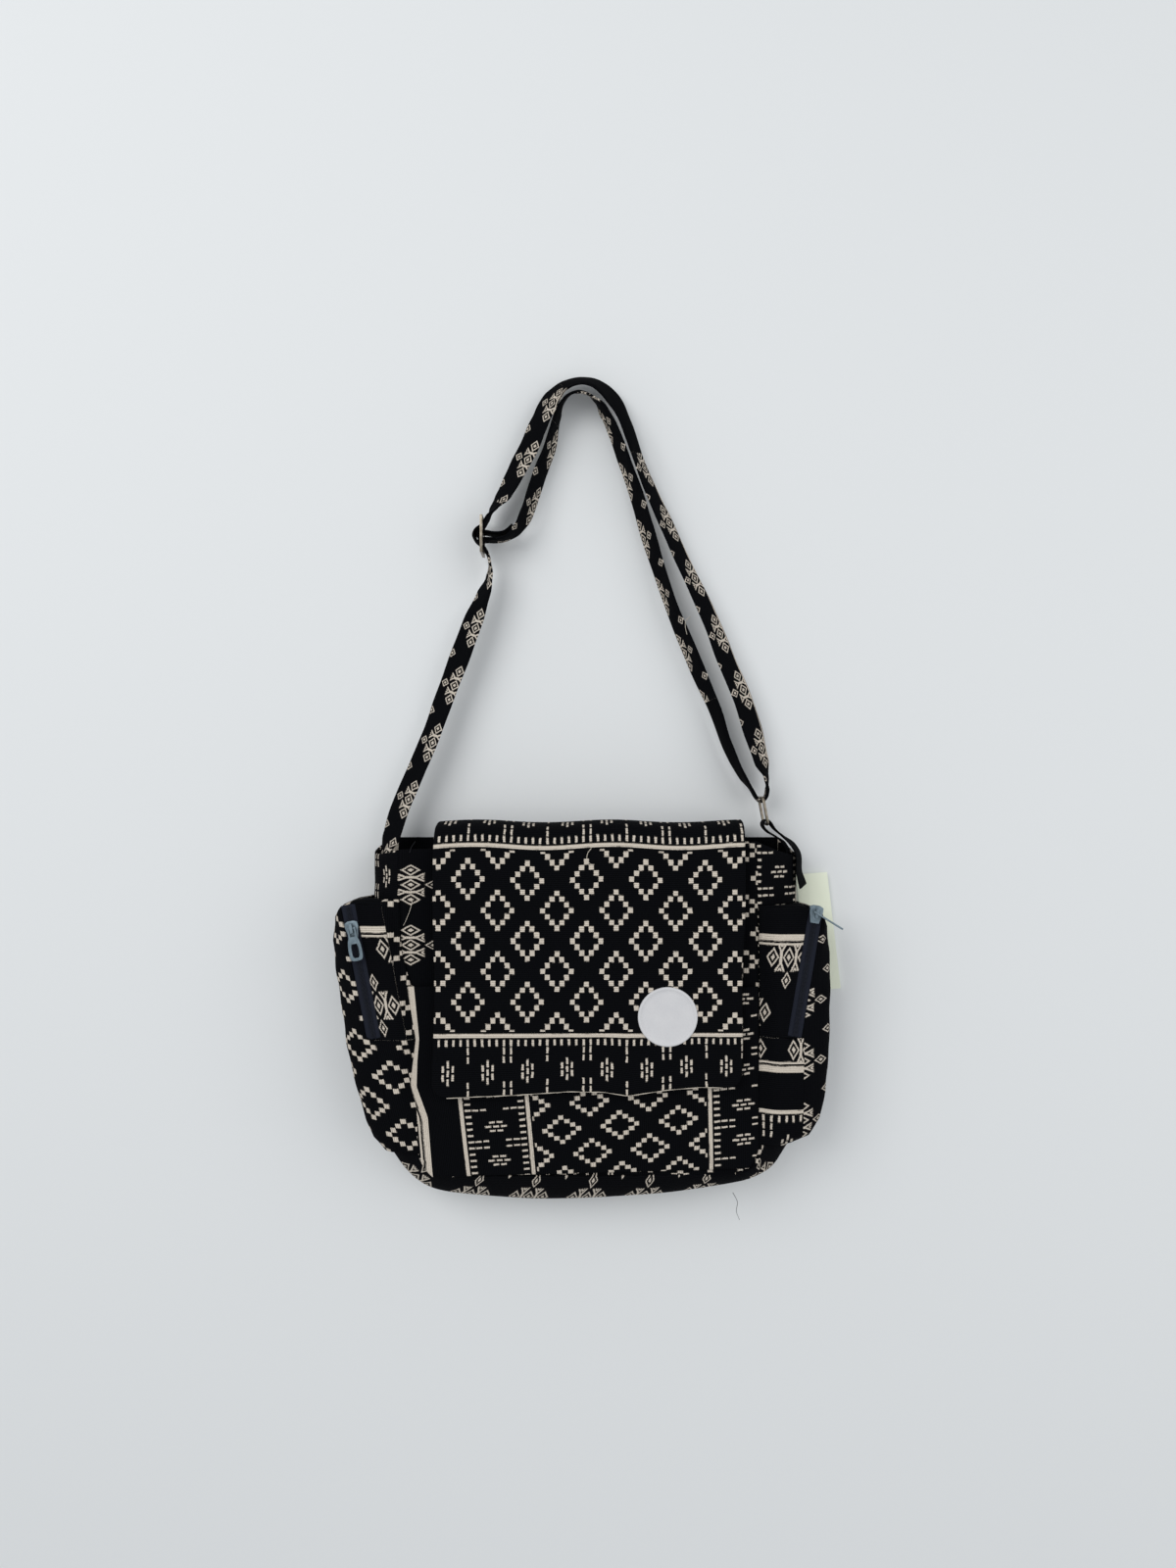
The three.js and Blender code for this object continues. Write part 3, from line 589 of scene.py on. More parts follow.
gusset_z = gusset_grid[..., 2]
bottom_x = gusset_grid[BOTTOM_ROWS, MIDDLE_COLUMN, 0]
bottom_run = gusset_run[:, None] - np.interp(BOTTOM_START_X, bottom_x, gusset_run[BOTTOM_ROWS])
gusset_arc = gusset_arc - np.array([np.interp(GUSSET_START_Y, depths, row) for row in gusset_arc])[:, None]
left_uv = np.stack([10.0 + gusset_arc, DASH_MIDDLE + LEFT_DASHES_Z - gusset_z], -1)
right_uv = np.stack([RIGHT_START_Z - gusset_z, 141.5 - gusset_arc], -1)
bottom_uv = np.stack([bottom_run + 0 * gusset_arc, 237.5 - 0.7 * gusset_arc], -1)
on_left = (np.arange(GUSSET_ROWS) < GUSSET_ROWS / 2)[:, None, None]
on_sides = (gusset_z.mean(1) > SIDES_DOWN_TO)[:, None, None]
gusset_uv = np.where(on_sides, np.where(on_left, left_uv, right_uv), bottom_uv)
cloth_piece("gusset", gusset_grid, CLOTH_T, gusset_uv)
bottom_width = round(gusset_arc[GUSSET_ROWS // 2, -1])
print("gusset strip:", round(gusset_run[-1]), "mm long and", bottom_width, "mm wide at the bottom")

# %% [markdown]
# The front panel hangs between its two side seams. Each row of its grid joins a point on the left seam to the
# point on the right seam that is as far down, and the rows close up at the bottom corners.


# %% Front and back panels
def panel_grid(line, depth, rows, columns, first, last):
    """Rows from the left part of an outline to its right part, both walked down to the bottom corners."""
    walk = steps(0, 1, rows)
    index = np.arange(AROUND)
    left, right = (
        np.stack([np.interp(at, index, line[:, i]) for i in (0, 1)], 1)[:, None]
        for at in (walk * first, AROUND - 1 - walk * last)
    )
    flat = mix(left, right, steps(0, 1, columns)[None, :, None])
    return np.stack([flat[..., 0], depth + 0 * flat[..., 0], flat[..., 1]], -1)


def corner_index(line, x):
    """Where the outline's lowest stretch passes this x."""
    low = np.flatnonzero(line[:, 1] < line[:, 1].min() + 6)
    return float(np.interp(x, line[low, 0], low))


FRONT_ROWS, FRONT_COLUMNS, STIFF_EDGE = 110, 130, 12  # the rows and columns near its seams ripple less
front_left, front_right = corner_index(front_line, -120), AROUND - 1 - corner_index(front_line, 140)
front_grid = panel_grid(front_line, FRONT_Y + CLOTH_T / 2, FRONT_ROWS, FRONT_COLUMNS, front_left, front_right)
from_side = np.minimum(np.arange(FRONT_COLUMNS), np.arange(FRONT_COLUMNS)[::-1])[None, :]
from_bottom = np.arange(FRONT_ROWS)[::-1, None]
slack = np.clip(from_side / STIFF_EDGE, 0, 1) * np.clip(from_bottom / STIFF_EDGE, 0, 1)
front_grid[..., 1] += rolling(front_grid, (80, 45, 130, 33), 5) * 0.5 * slack
front_x, front_z = front_grid[..., 0], front_grid[..., 2]
to_right = smooth_step(front_x, -60, 60)
across_front = mix(np.maximum(CLUSTER_ROW + front_x + 162.0, 207.0), front_x - 99.3, to_right)
along_front = mix(-(front_z + 494.4), -(front_z + 515) * 1.05, to_right)
cloth_piece("front_panel", front_grid, CLOTH_T, np.stack([along_front, across_front], -1))

back_left, back_right = corner_index(back_line, -130), AROUND - 1 - corner_index(back_line, 150)
back_grid = panel_grid(back_line, BACK_Y - CLOTH_T / 2, 90, 110, back_left, back_right)
back_uv = np.stack([-(back_grid[..., 2] + 484), back_grid[..., 0] - 10], -1)
cloth_piece("back_panel", back_grid, CLOTH_T, back_uv, turned=False)

# %% [markdown]
# ## Flap
# The flap is a double sheet sewn to the top of the back panel. It rolls over the top and hangs in front. Its
# surface is a profile in depth and height, carried across the bag. It is nearly flat, with a slow wave along
# its free edge and soft ripples where the cloth is tired, and its two lower corners are rounded.

# %% Flap surface
FLAP_PROFILE = [
    (18.8, -451.3), (18.3, -446), (13, -440), (0, -436.6), (-26, -434.5), (-48, -436.5), (-59, -441.5),
    (-64, -450), (-65.6, -462), (-66, -480), (-66, -530), (-66, -590), (-66, -640), (-66, -692),
]  # fmt: skip
flap_line = even_curve(FLAP_PROFILE, 200)
flap_run = arc_length(flap_line)
flap_length = flap_run[-1]
flap_down, flap_across = np.meshgrid(flap_run, steps(0, 1, 150), indexing="ij")
FLAP_T = 2.4  # both layers
FLAP_LEFT, FLAP_RIGHT, FLAP_TAPER = -137.2, 162.0, 6.5
FLAP_CORNER = 13  # the radius of its two lower corners
FLAP_DIAMONDS_Z = -546.6  # the middle of the diamonds crosses the flap here
to_edge = flap_length - flap_down
inset = FLAP_CORNER - np.sqrt(np.maximum(FLAP_CORNER**2 - np.maximum(FLAP_CORNER - to_edge, 0) ** 2, 0))
flap_left = FLAP_LEFT + inset + 0.8 * np.sin(flap_down / 31)
flap_right = FLAP_RIGHT - FLAP_TAPER * flap_down / flap_length - inset + 0.7 * np.sin(flap_down / 23 + 1)
flap_x = mix(flap_left, flap_right, flap_across)
flap_y, flap_z = (np.interp(flap_down, flap_run, flap_line[:, i]) for i in (0, 1))
flap_grid = np.stack([flap_x, flap_y, flap_z], -1)
hanging = smooth_step(flap_down, 95, 190)
free_edge = smooth_step(flap_down, flap_length - 70, flap_length)
flap_wave = rolling(flap_grid, (95, 60, 140, 40), 11)
flap_grid[..., 1] += hanging * (flap_wave * 0.9 - 0.4) - free_edge * 1.3 * (1 + np.sin(flap_x / 29 + 0.6))
hem = np.interp(flap_x, (-137, -60, -9, 24, 47, 85, 118, 156), (-4.2, -1.5, 2.4, 2.4, -1.4, 3.5, 6.1, 5.0))
top_wave = 1.6 * np.sin(flap_x / 21) * smooth_step(flap_down, 12, 60)
flap_grid[..., 2] += free_edge * hem + (1 - hanging) * top_wave
zero_at = np.interp(-FLAP_DIAMONDS_Z, -flap_line[60:, 1], flap_run[60:])
flap = cloth_piece("flap", flap_grid, FLAP_T, np.stack([flap_x + 104.8, flap_down - zero_at], -1))
hem_line = flap_grid[-1] + np.array([0, -1.5, -0.3])
print("flap cloth:", round(flap_length), "mm from its seam to its free edge")

# %% [markdown]
# ## Front pocket
# The pocket is one panel as wide as the front, with the cloth turned so that its bands run down. It is sewn
# at the sides and the bottom, and its mouth stands loose under the flap.

# %% Front pocket surface
POCKET_T = 2.0
POCKET_MOUTH_Z, POCKET_DROP = -593, 183.5
CORNER_FROM = 0.86  # the share of the drop where its lower corners begin
pocket_v, pocket_u = np.meshgrid(steps(0, 1, 90), steps(0, 1, 150), indexing="ij")
corner = (np.maximum(0, pocket_v - CORNER_FROM) / (1 - CORNER_FROM)) ** 2
pocket_left = np.interp(pocket_v, (0, 0.28, 0.52, 0.65, 1), (-166, -157, -162, -156, -153)) + 12 * corner
pocket_right = 174.5 + 0.5 * pocket_v - 10 * corner
standing = 9 * np.sin(np.pi * pocket_u) ** 0.6 * (1 - pocket_v**3)
pocket_z = POCKET_MOUTH_Z - (POCKET_DROP - 8 * pocket_u) * pocket_v
pocket_grid = np.stack([mix(pocket_left, pocket_right, pocket_u), -52 - standing, pocket_z], -1)
free = np.clip(np.minimum(np.minimum(pocket_u, 1 - pocket_u) * 14, (1 - pocket_v) * 9), 0, 1)
creases = rolling(pocket_grid * np.array([1.0, 1.0, 0.45]), (42, 70, 27, 110), 21)
pocket_grid[..., 1] += creases * 0.9 * free - 0.5 * free
pocket_grid[..., 2] += 1.2 * np.sin(pocket_grid[..., 0] / 26) * (1 - pocket_v) * free
POCKET_MIDDLE, POCKET_LOZENGE_Z = 39.1, -724.7  # a lozenge's middle lies here
pocket_x, pocket_z = pocket_grid[..., 0], pocket_grid[..., 2]
off_middle = pocket_x - POCKET_MIDDLE
lean = (-697 - pocket_z) / 74 * (5.2 - 0.025 * pocket_x)
stripe_shift = np.interp(-pocket_z, (595, 643, 665, 689, 719, 770), (-5.9, -4.6, 0.0, 3.7, -3.8, -2.0))
pocket_t = (off_middle - lean) * 1.025 + stripe_shift * (1 - smooth_step(pocket_x, -146, -128))
pocket_s = -(pocket_z - POCKET_LOZENGE_Z - 0.085 * off_middle) / 0.893
pocket_s = pocket_s + np.where(np.abs(pocket_t) > FIELD_EDGE, 28.5, 0)
cloth_piece("front_pocket", pocket_grid, POCKET_T, np.stack([pocket_s, pocket_t], -1))

# %% [markdown]
# ## Side pockets
# Each side pocket is a box of soft cloth sewn to the gusset, made of two pieces: a front piece next to the
# bag's front panel, and a wrap that goes round the outside to the back. The zip lies between them. A height
# and an angle give a point: the angle walks a rounded section from the front seam out and round to the back,
# and the height picks the section's reach and depth from a short list.

# %% Side pocket sections
LEFT_SECTIONS = np.array([
    (-509, -207, 0.1), (-511, -219, 0.55), (-516, -230, 0.8), (-526, -237, 0.96), (-550, -239.5, 1),
    (-600, -234, 1), (-648, -227, 1), (-696, -216, 0.9), (-725, -208, 0.75), (-742, -201, 0.5),
    (-754, -190, 0.1),
])  # fmt: skip
RIGHT_SECTIONS = np.array([
    (-515, 212, 0.1), (-517, 226, 0.55), (-522, 236, 0.8), (-535, 244, 0.96), (-560, 246.5, 1),
    (-600, 247, 1), (-648, 246.5, 1), (-696, 243, 0.95), (-722, 237, 0.85), (-738, 227, 0.6),
    (-746, 212, 0.1),
])  # fmt: skip
LEFT_INNER = np.array([
    (-500, -174), (-560, -171), (-594, -161.5), (-643, -154), (-686, -159), (-708, -153), (-760, -150),
])  # fmt: skip
RIGHT_INNER = np.array([(-500, 175.5), (-620, 176.5), (-760, 174)])
ZIP_PLANE, TAPE_W, ZIP_GAP = -58.5, 6.0, 1.6
LEFT_ZIP = (np.array([-221.0, ZIP_PLANE, -513.0]), np.array([-196.0, ZIP_PLANE, -642.0]))
RIGHT_ZIP = (np.array([229.5, ZIP_PLANE, -517.0]), np.array([208.5, ZIP_PLANE, -640.0]))
ZIP_HALF = ZIP_GAP / 2 + TAPE_W + 0.4
RIGHT_LOWER_SEAM = 217.5  # x of the seam that goes on under the right zip
ROUNDNESS = 0.6  # the power of the sections' sine and cosine: a low one makes them square
POCKET_ROWS = 150
POCKET_MIDDLE_Y, LEAST_DEPTH, MORE_DEPTH = -22, 26, 13
SEAM_DEPTH = 29.5  # how far in front of its middle a pocket is sewn to the front seam
FOLD_COLUMN = 12  # the left front piece's fold lies before this column


def at_height(table, z, column):
    """Reads a short list of heights, falling, at height z."""
    return np.interp(-z, -table[:, 0], table[:, column])


def skin_x(side, y, z):
    """The gusset's outer face at this depth and height, on the left (-1) or right (1) side of the bag."""
    part = slice(0, 100) if side < 0 else slice(AROUND - 1, AROUND - 101, -1)
    return swollen(*(np.interp(-z, -line[part, 1], line[part, 0]) for line in OUTLINES), y)


def pocket_section(side, sections, inner, angle, z):
    """x is the seam plus the reach times sine to a power; y is minus cosine to a power times the depth."""
    start, outer, swell = at_height(inner, z, 1), at_height(sections, z, 1), at_height(sections, z, 2)
    out_by = np.abs(outer - start) * np.sin(np.clip(angle, 0, np.pi)) ** ROUNDNESS
    depth, c = LEAST_DEPTH + MORE_DEPTH * swell, np.cos(angle)
    to_seam = (depth - SEAM_DEPTH) * np.exp(-((out_by / 11) ** 2)) * (c > 0)
    y = POCKET_MIDDLE_Y - depth * signed_power(c, ROUNDNESS) + to_seam - np.where(c < 0, c * c * 6, 0)
    x = start + side * out_by
    wall = skin_x(side, y, z) + side * 1.7
    x = np.where((y > FRONT_Y - 1.2) & (side * x < side * wall), wall, x)
    return np.stack([x, y, z + 0 * x], -1)


def zip_middle(zip_ends, z):
    """x of the zip's middle line at this height, carried on straight past its ends."""
    top, end = zip_ends
    return mix(top[0], end[0], (top[2] - z) / (top[2] - end[2]))


def seam_angles(side, sections, inner, zip_ends, z):
    """The two angles at which the front piece ends and the wrap begins. They part by the zip's width."""
    top, end = zip_ends
    start = at_height(inner, z, 1)
    reach = np.abs(at_height(sections, z, 1) - start)
    slant = (end[0] - top[0]) / (top[2] - end[2])
    above_end = smooth_step(z, end[2] - 1.2, end[2] - 0.2)
    beside_zip = above_end * (1 - smooth_step(z, top[2] + 0.2, top[2] + 1.2))
    half = ZIP_HALF * np.sqrt(1 + slant**2) * beside_zip + 0.25
    middle = zip_middle(zip_ends, z)
    if side > 0:
        middle = mix(RIGHT_LOWER_SEAM, middle, above_end)
    out_by = side * (middle - start)
    return [np.arcsin(np.clip((out_by + k * half) / reach, 0.1, 0.97) ** (1 / ROUNDNESS)) for k in (-1, 1)]


def fold_angle(sections, inner, z):
    """The angle of a fold in the left front piece, which slants from its top down to the seam."""
    start, outer = at_height(inner, z, 1), at_height(sections, z, 1)
    fold_x = np.minimum(-186.2 + (-530 - z) * 0.189, start - 2)
    return np.arcsin(np.clip((start - fold_x) / (start - outer), 0.02, 0.4) ** (1 / ROUNDNESS))


def side_pocket(name, side, sections, inner, zip_ends, seed, maps):
    """Both cloth pieces of one side pocket, flattened towards the zip's plane beside the zip."""
    zip_top, zip_low = (end[2] for end in zip_ends)
    walk = steps(0, 1, POCKET_ROWS)
    z = mix(sections[0, 0], sections[-1, 0], walk - np.sin(2 * np.pi * walk) / (2 * np.pi) * 0.55)
    seam_row = np.argmin(np.abs(z - zip_low + 1))
    z[seam_row : seam_row + 2] = zip_low - np.array([0.9, 1.1])  # the pattern changes between these rows
    near, far = seam_angles(side, sections, inner, zip_ends, z)
    made = []
    for part, low, high, columns in (("front", 0 * near, near, 46), ("wrap", far, np.pi + 0 * far, 90)):
        angle = mix(low[:, None], high[:, None], steps(0, 1, columns))
        if part == "front" and side < 0:
            fold = fold_angle(sections, inner, z)[:, None]
            beyond = mix(fold + 0.002, high[:, None], steps(0, 1, columns - FOLD_COLUMN))
            angle = np.concatenate([fold * steps(0, 1, FOLD_COLUMN), beyond], axis=1)
        heights = np.repeat(z[:, None], columns, 1)
        grid = pocket_section(side, sections, inner, angle, heights)
        from_tape = (np.abs(grid[..., 0] - zip_middle(zip_ends, heights)) - ZIP_HALF).clip(0)
        by_zip = np.exp(-((from_tape / 7) ** 2)) * (grid[..., 1] < -40)
        by_zip = by_zip * smooth_step(heights, zip_low - 12, zip_low)
        by_zip = by_zip * (1 - smooth_step(heights, zip_top, zip_top + 6))
        grid[..., 1] = mix(grid[..., 1], ZIP_PLANE - 0.6, by_zip)
        off_body = np.clip((side * (grid[..., 0] - skin_x(side, grid[..., 1], heights)) - 2) / 12, 0, 1)
        off_body = np.maximum(off_body, (grid[..., 1] < -53) * 0.8) * (1 - by_zip)
        creases = rolling(grid, (34, 52, 23, 70), seed) * 1.1 * off_body
        grid = grid + normals_of(grid) * creases[..., None] * side
        uv = np.stack(maps[part](grid, across_columns(grid), heights), -1)
        stands_for = [name] if part == "front" else ()
        made.append(cloth_piece(f"{name}_{part}", grid, POCKET_T, uv, turned=side > 0, replaces=stands_for))
    return made


# %% [markdown]
# The two pieces of each pocket are cut from different places of the cloth. The front pieces show the stripes
# lying across, with clusters under them. The left wrap is cut from the diamonds and the right wrap from the
# clusters.


# %% Side pockets
LEFT_LOZENGE_X, LEFT_LOZENGE_Z = -213.0, -650.0  # a lozenge's middle on the left pocket


def left_wrap_map(grid, run, z):
    """Diamonds whose bands run down the pocket's outside. The width is measured round the cloth."""
    above = z - LEFT_LOZENGE_Z
    return 0.1 * run - above, grid[:, :1, 0] - run - LEFT_LOZENGE_X + 0.22 * above


def left_front_map(grid, run, z):
    """Stripes lie across the top with clusters under them, and the wrap's diamonds come below the zip's end.
    The narrow part between the seam and the fold shows diamonds too."""
    x, down, above = grid[..., 0], -609.2 - z, z - LEFT_LOZENGE_Z
    places = [z < LEFT_ZIP[1][2] - 1, (np.arange(grid.shape[1]) < FOLD_COLUMN)[None, :]]
    s = np.select(places, [-above, -(z + 556)], x + 191.1 - 0.214 * down + CLUSTER_STEP / 2)
    t = np.select(places, [x - LEFT_LOZENGE_X + 0.22 * above, x + 181], MIRROR + down)
    return s, t


def right_front_map(grid, run, z):
    """Stripes and clusters going down, and below the zip's end the same bands going back up."""
    x, down, lower = grid[..., 0], 198 + (-544.4 - z), z < RIGHT_ZIP[1][2] - 1
    s = np.where(lower, x - 221.3, x - 202.5 + 0.12 * (down - CLUSTER_ROW))
    return s, np.where(lower, 198 + (z + 670.8), down)


def right_wrap_map(grid, run, z):
    """Clusters, with their rows running down the outside of the pocket."""
    return -(z + 662.8), CLUSTER_ROW + grid[:, :1, 0] - 214 + run


left_maps = {"front": left_front_map, "wrap": left_wrap_map}
right_maps = {"front": right_front_map, "wrap": right_wrap_map}
pocket_pieces = side_pocket("left_pocket", -1, LEFT_SECTIONS, LEFT_INNER, LEFT_ZIP, 31, left_maps)
pocket_pieces += side_pocket("right_pocket", 1, RIGHT_SECTIONS, RIGHT_INNER, RIGHT_ZIP, 47, right_maps)
print("side pocket pieces:", [len(piece.data.polygons) for piece in pocket_pieces], "faces")

# %% [markdown]
# ## Strap
# The strap is a folded band of the same cloth. One length starts inside the gusset, goes through the
# adjuster, over the hook and down to the ring, and comes back up beside itself to end on the adjuster's
# middle bar. Its middle line is a list of stations with a turn and a width at each, and a soft oval section
# is swept along it.

# %% Strap stations
STRAP_STATIONS = [
    (-196.9, -8.5, -492, 94, 22), (-196.4, -9, -480, 92, 22), (-193, -12, -464, 60, 23),
    (-187.5, -11, -450, 38, 24), (-179.8, -10, -424, 33, 25), (-164, -9, -386, 36, 25),
    (-148, -8, -348, 38, 25), (-134.5, -7, -310, 33, 25), (-120.4, -7, -272.5, 30, 25),
    (-106.5, -6, -234.6, 34, 25), (-95.6, -5, -206, 50, 25), (-89.5, -4, -187, 72, 25),
    (-89.2, -4, -174, 88, 25), (-91.0, -4, -165.5, 90, 25), (-96.5, -4, -156.6, 90, 25),
    (-102.4, -4, -152, 90, 25), (-104.6, -4, -147, 90, 25), (-102.4, -4, -142, 90, 25),
    (-96.5, -4, -137.4, 90, 25), (-91.0, -4, -128.5, 90, 25), (-84.5, -4, -117.5, 66, 25),
    (-74.8, -4, -105, 46, 25), (-65.8, -4, -88.3, 36, 25), (-57.5, -4, -72, 33, 25),
    (-48.8, -4, -55.6, 33, 25), (-42.3, -4, -39.2, 35, 25), (-34.8, -4, -22.8, 42, 25),
    (-27, -3, -7.5, 50, 25), (-18, -2, 3, 57, 24), (-7, -1, 9.3, 60, 24), (5, -1, 11, 60, 24),
    (17, -1, 8.5, 58, 24), (28, -2, 0.5, 56, 24), (37.7, -4, -12, 56, 25), (47.6, -6, -32, 58, 25),
    (61.5, -6, -72, 60, 25), (75, -6, -105, 54, 25), (90.2, -6, -138, 50, 25), (104.6, -6, -170.6, 48, 25),
    (122.6, -6, -208, 44, 25), (137.3, -6, -241, 42, 25), (149.7, -6, -273.7, 36, 25),
    (164.1, -6, -306.8, 34, 25), (174.8, -6, -339.6, 34, 25), (184.4, -5, -372.5, 46, 25),
    (189.6, -4, -390, 74, 24), (190.6, -4, -403, 90, 23), (188.4, -4, -411, 90, 23),
    (184.2, -4, -414, 90, 23), (179.9, -4, -411, 90, 23), (174.5, -4, -402, 90, 23),
    (164.5, -3, -387, 80, 24), (150, -1, -356, 74, 25), (139, 0, -323, 68, 25), (124.7, 1, -290, 62, 25),
    (111, 1, -257.4, 62, 25), (97.1, 1, -224, 66, 25), (85.6, 1, -191.4, 66, 25), (68.9, 1, -138, 60, 25),
    (59.4, 1, -105, 62, 25), (47.6, 1, -72, 66, 25), (35.5, 1, -39, 70, 25), (25.8, 0, -20, 78, 24),
    (16.4, 0, -7.5, 98, 24), (8, 0, -1.4, 108, 24), (0, 0, 0.2, 112, 24), (-8, 0, -1.8, 108, 24),
    (-15.2, 0, -9.6, 98, 24), (-20.8, 1, -23, 80, 25), (-28.5, 1, -55.6, 68, 25), (-38, 1, -80, 64, 25),
    (-45.8, 0, -104, 62, 25), (-52.5, -1, -124, 64, 25), (-61, -3, -139, 76, 25), (-73, -4, -149, 90, 25),
    (-84, -4, -150.9, 90, 24), (-92, -4, -150.7, 90, 24), (-97, -4, -150.8, 90, 24),
    (-100.1, -4, -149, 90, 24), (-100.4, -4, -145.6, 90, 24), (-98, -4, -143.3, 90, 24),
    (-93, -4, -143.4, 90, 24), (-84, -4, -144.9, 90, 24), (-74, -4, -143.7, 90, 24),
    (-66, -4, -136.8, 88, 24),
]  # fmt: skip
TAB_STATIONS = [
    (211, -14, -500, 111, 21), (211, -14, -486, 111, 21), (211, -14, -470, 111, 21),
    (207.6, -12.4, -458, 104, 22), (198.5, -8, -449.5, 94, 23), (189.8, -5, -444, 91, 23),
    (186.0, -4, -439.4, 90, 23), (185.7, -4, -436, 90, 23), (187.4, -4, -433.6, 90, 23),
    (190.4, -4, -433.3, 90, 23), (193.0, -4.2, -435.6, 90, 23), (197, -5.5, -441.5, 88, 24),
    (206, -9, -449.5, 84, 25), (216.4, -12.8, -459.5, 74, 25), (220.4, -14, -468.5, 69, 25),
    (220.9, -14, -484, 68, 26), (225, -14, -499, 66, 29),
]  # fmt: skip


def swept_band(stations, thickness, per_station, crumple, seed, cuts=(), spread=0.0):
    """Rings of a flattened oval round a Catmull-Rom line. The wide axis is turned about the line by each
    station's angle: cosine times the direction at right angles to the line and the depth, plus sine times
    the depth. The spread widens the band by that share where it lies on the hook."""
    table = np.array(stations, float)
    line, lengths, place = station_curve(table[:, :3], per_station, cuts)
    low = np.minimum(np.floor(place).astype(int), len(table) - 1)
    high = np.minimum(low + 1, len(table) - 1)
    turn, width = mix(table[low, 3:], table[high, 3:], smooth_step(place - low, 0, 1)[:, None]).T
    turn = np.radians(turn)[:, None]
    width = width * (1 + spread * smooth_step(line[:, 2], -30, -4))
    width = width + crumple * (0.6 * np.sin(lengths / 19 + seed) + 0.4 * np.sin(lengths / 7.3 + 2 * seed))
    tangent, depth = unit(np.gradient(line, axis=0)), np.array([0.0, 1.0, 0.0])
    wide = unit(np.cos(turn) * unit(np.cross(tangent, depth)) + np.sin(turn) * depth)
    thin = np.cross(tangent, wide)
    around = np.arange(32) / 32 * 2 * np.pi
    across, up = signed_power(np.cos(around), 0.55), signed_power(np.sin(around), 0.75)
    dent = crumple * 0.35 * np.sin(lengths[:, None] / 11 + 3 * np.cos(around)[None, :] + seed)
    w = width[:, None] / 2 * across[None, :]
    h = thickness / 2 * up[None, :] + dent * (np.abs(across) < 0.9)[None, :]
    rings = line[:, None] + w[..., None] * wide[:, None] + h[..., None] * thin[:, None]
    return rings, w, lengths


def closed_band(name, rings, uv=None):
    """Rings joined side by side. The map's seam lies on a thin edge, and a middle point closes each end."""
    count, n = rings.shape[:2]
    faces = quads_between(count, n, wrap=True)[:, ::-1]
    points = np.concatenate([rings.reshape(-1, 3), rings[[0, -1]].mean(1)])
    ends = [(count * n, i, (i + 1) % n) for i in range(n)]
    last = (count - 1) * n
    ends += [(count * n + 1, last + (i + 1) % n, last + i) for i in range(n)]
    if uv is not None:
        uv = np.concatenate([uv.reshape(-1, 2), uv[[0, -1]].mean(1)])
    return piece_from(name, points, faces, uv, triangles=ends)


# %% [markdown]
# The cloth is gathered across the strap, so its figures look about half as wide there. On each run the row of
# clusters lies at another place across the band, and where the strap turns over, only the plain black part
# shows.

# %% Strap
STRAP_T, TAB_T = 3.0, 2.0
GATHER = 1.8
PITCH_ON_STRAP = 61.3  # from one cluster to the next, stretched a little
RUNS = (
    # start and end along the strap, the row's place across it, the gathering with its sign, the phase
    (-5, 345, -7.5, GATHER, 86.0),
    (412, 548, -7.5, GATHER, 402.4),
    (668, 1052, 4.0, -GATHER, 867.9),
    (1162, 1512, 9.0, -GATHER, 1340.0),
    (1552, 1690, 7.0, -GATHER, 1575.0),
)
run_ends = np.array([end for run in RUNS for end in run[:2] if end > 0], float)
strap_rings, strap_w, strap_length = swept_band(STRAP_STATIONS, STRAP_T, 6, 1.0, 0.4, run_ends, 0.36)
strap_s, strap_t = np.zeros_like(strap_w), np.full_like(strap_w, PLAIN)
for start, end, row, gather, phase in RUNS:
    on_run = ((strap_length > start) & (strap_length < end))[:, None]
    strap_t = np.where(on_run, CLUSTER_ROW + gather * (strap_w - row), strap_t)
    strap_s = np.where(on_run, (strap_length[:, None] - phase) * CLUSTER_STEP / PITCH_ON_STRAP, strap_s)
strap = closed_band("strap", strap_rings, np.stack([strap_s, strap_t], -1))
dress(strap, cloth, replaces=["strap"])
tab_rings, tab_w, tab_length = swept_band(TAB_STATIONS, TAB_T, 8, 0.8, 1.7)
tab_uv = np.stack([tab_length[:, None] * 1.1 + 0 * tab_w, PLAIN + 0.9 * tab_w], -1)
dress(closed_band("ring_tab", tab_rings, tab_uv), cloth, replaces=["ring_tab"])
print("strap:", round(strap_length[-1]), "mm of band; tab:", round(tab_length[-1]), "mm")

# %% [markdown]
# ## Zips
# Each zip is two woven tapes that meet along a pair of coils. A coil is one thick thread wound into a
# flattened spring. Here it is a fine tube along a helix, and the two helices mesh because one is half a turn
# ahead.


# %% Zip tapes and coils
def round_rings(line, first, second, radius, sides):
    """A ring of points round each point of a line, in the plane of two directions."""
    angle = (np.arange(sides) / sides * 2 * np.pi)[None, :, None]
    radius = np.broadcast_to(radius, (len(line),))[:, None, None]
    return line[:, None] + radius * (np.cos(angle) * first[:, None] + np.sin(angle) * second[:, None])


def tube(name, line, radius, sides=6):
    """A round thread along a line of points, with rings at right angles to it and closed ends."""
    tangent = unit(np.gradient(line, axis=0))
    side = unit(np.cross(tangent, np.array([0.3, 1.0, 0.2])))
    angle = np.arange(sides) / sides * 2 * np.pi
    run = arc_length(line)[:, None] + 0 * angle
    rings = round_rings(line, side, np.cross(tangent, side), radius, sides)
    return closed_band(name, rings, np.stack([run, angle + 0 * run], -1))


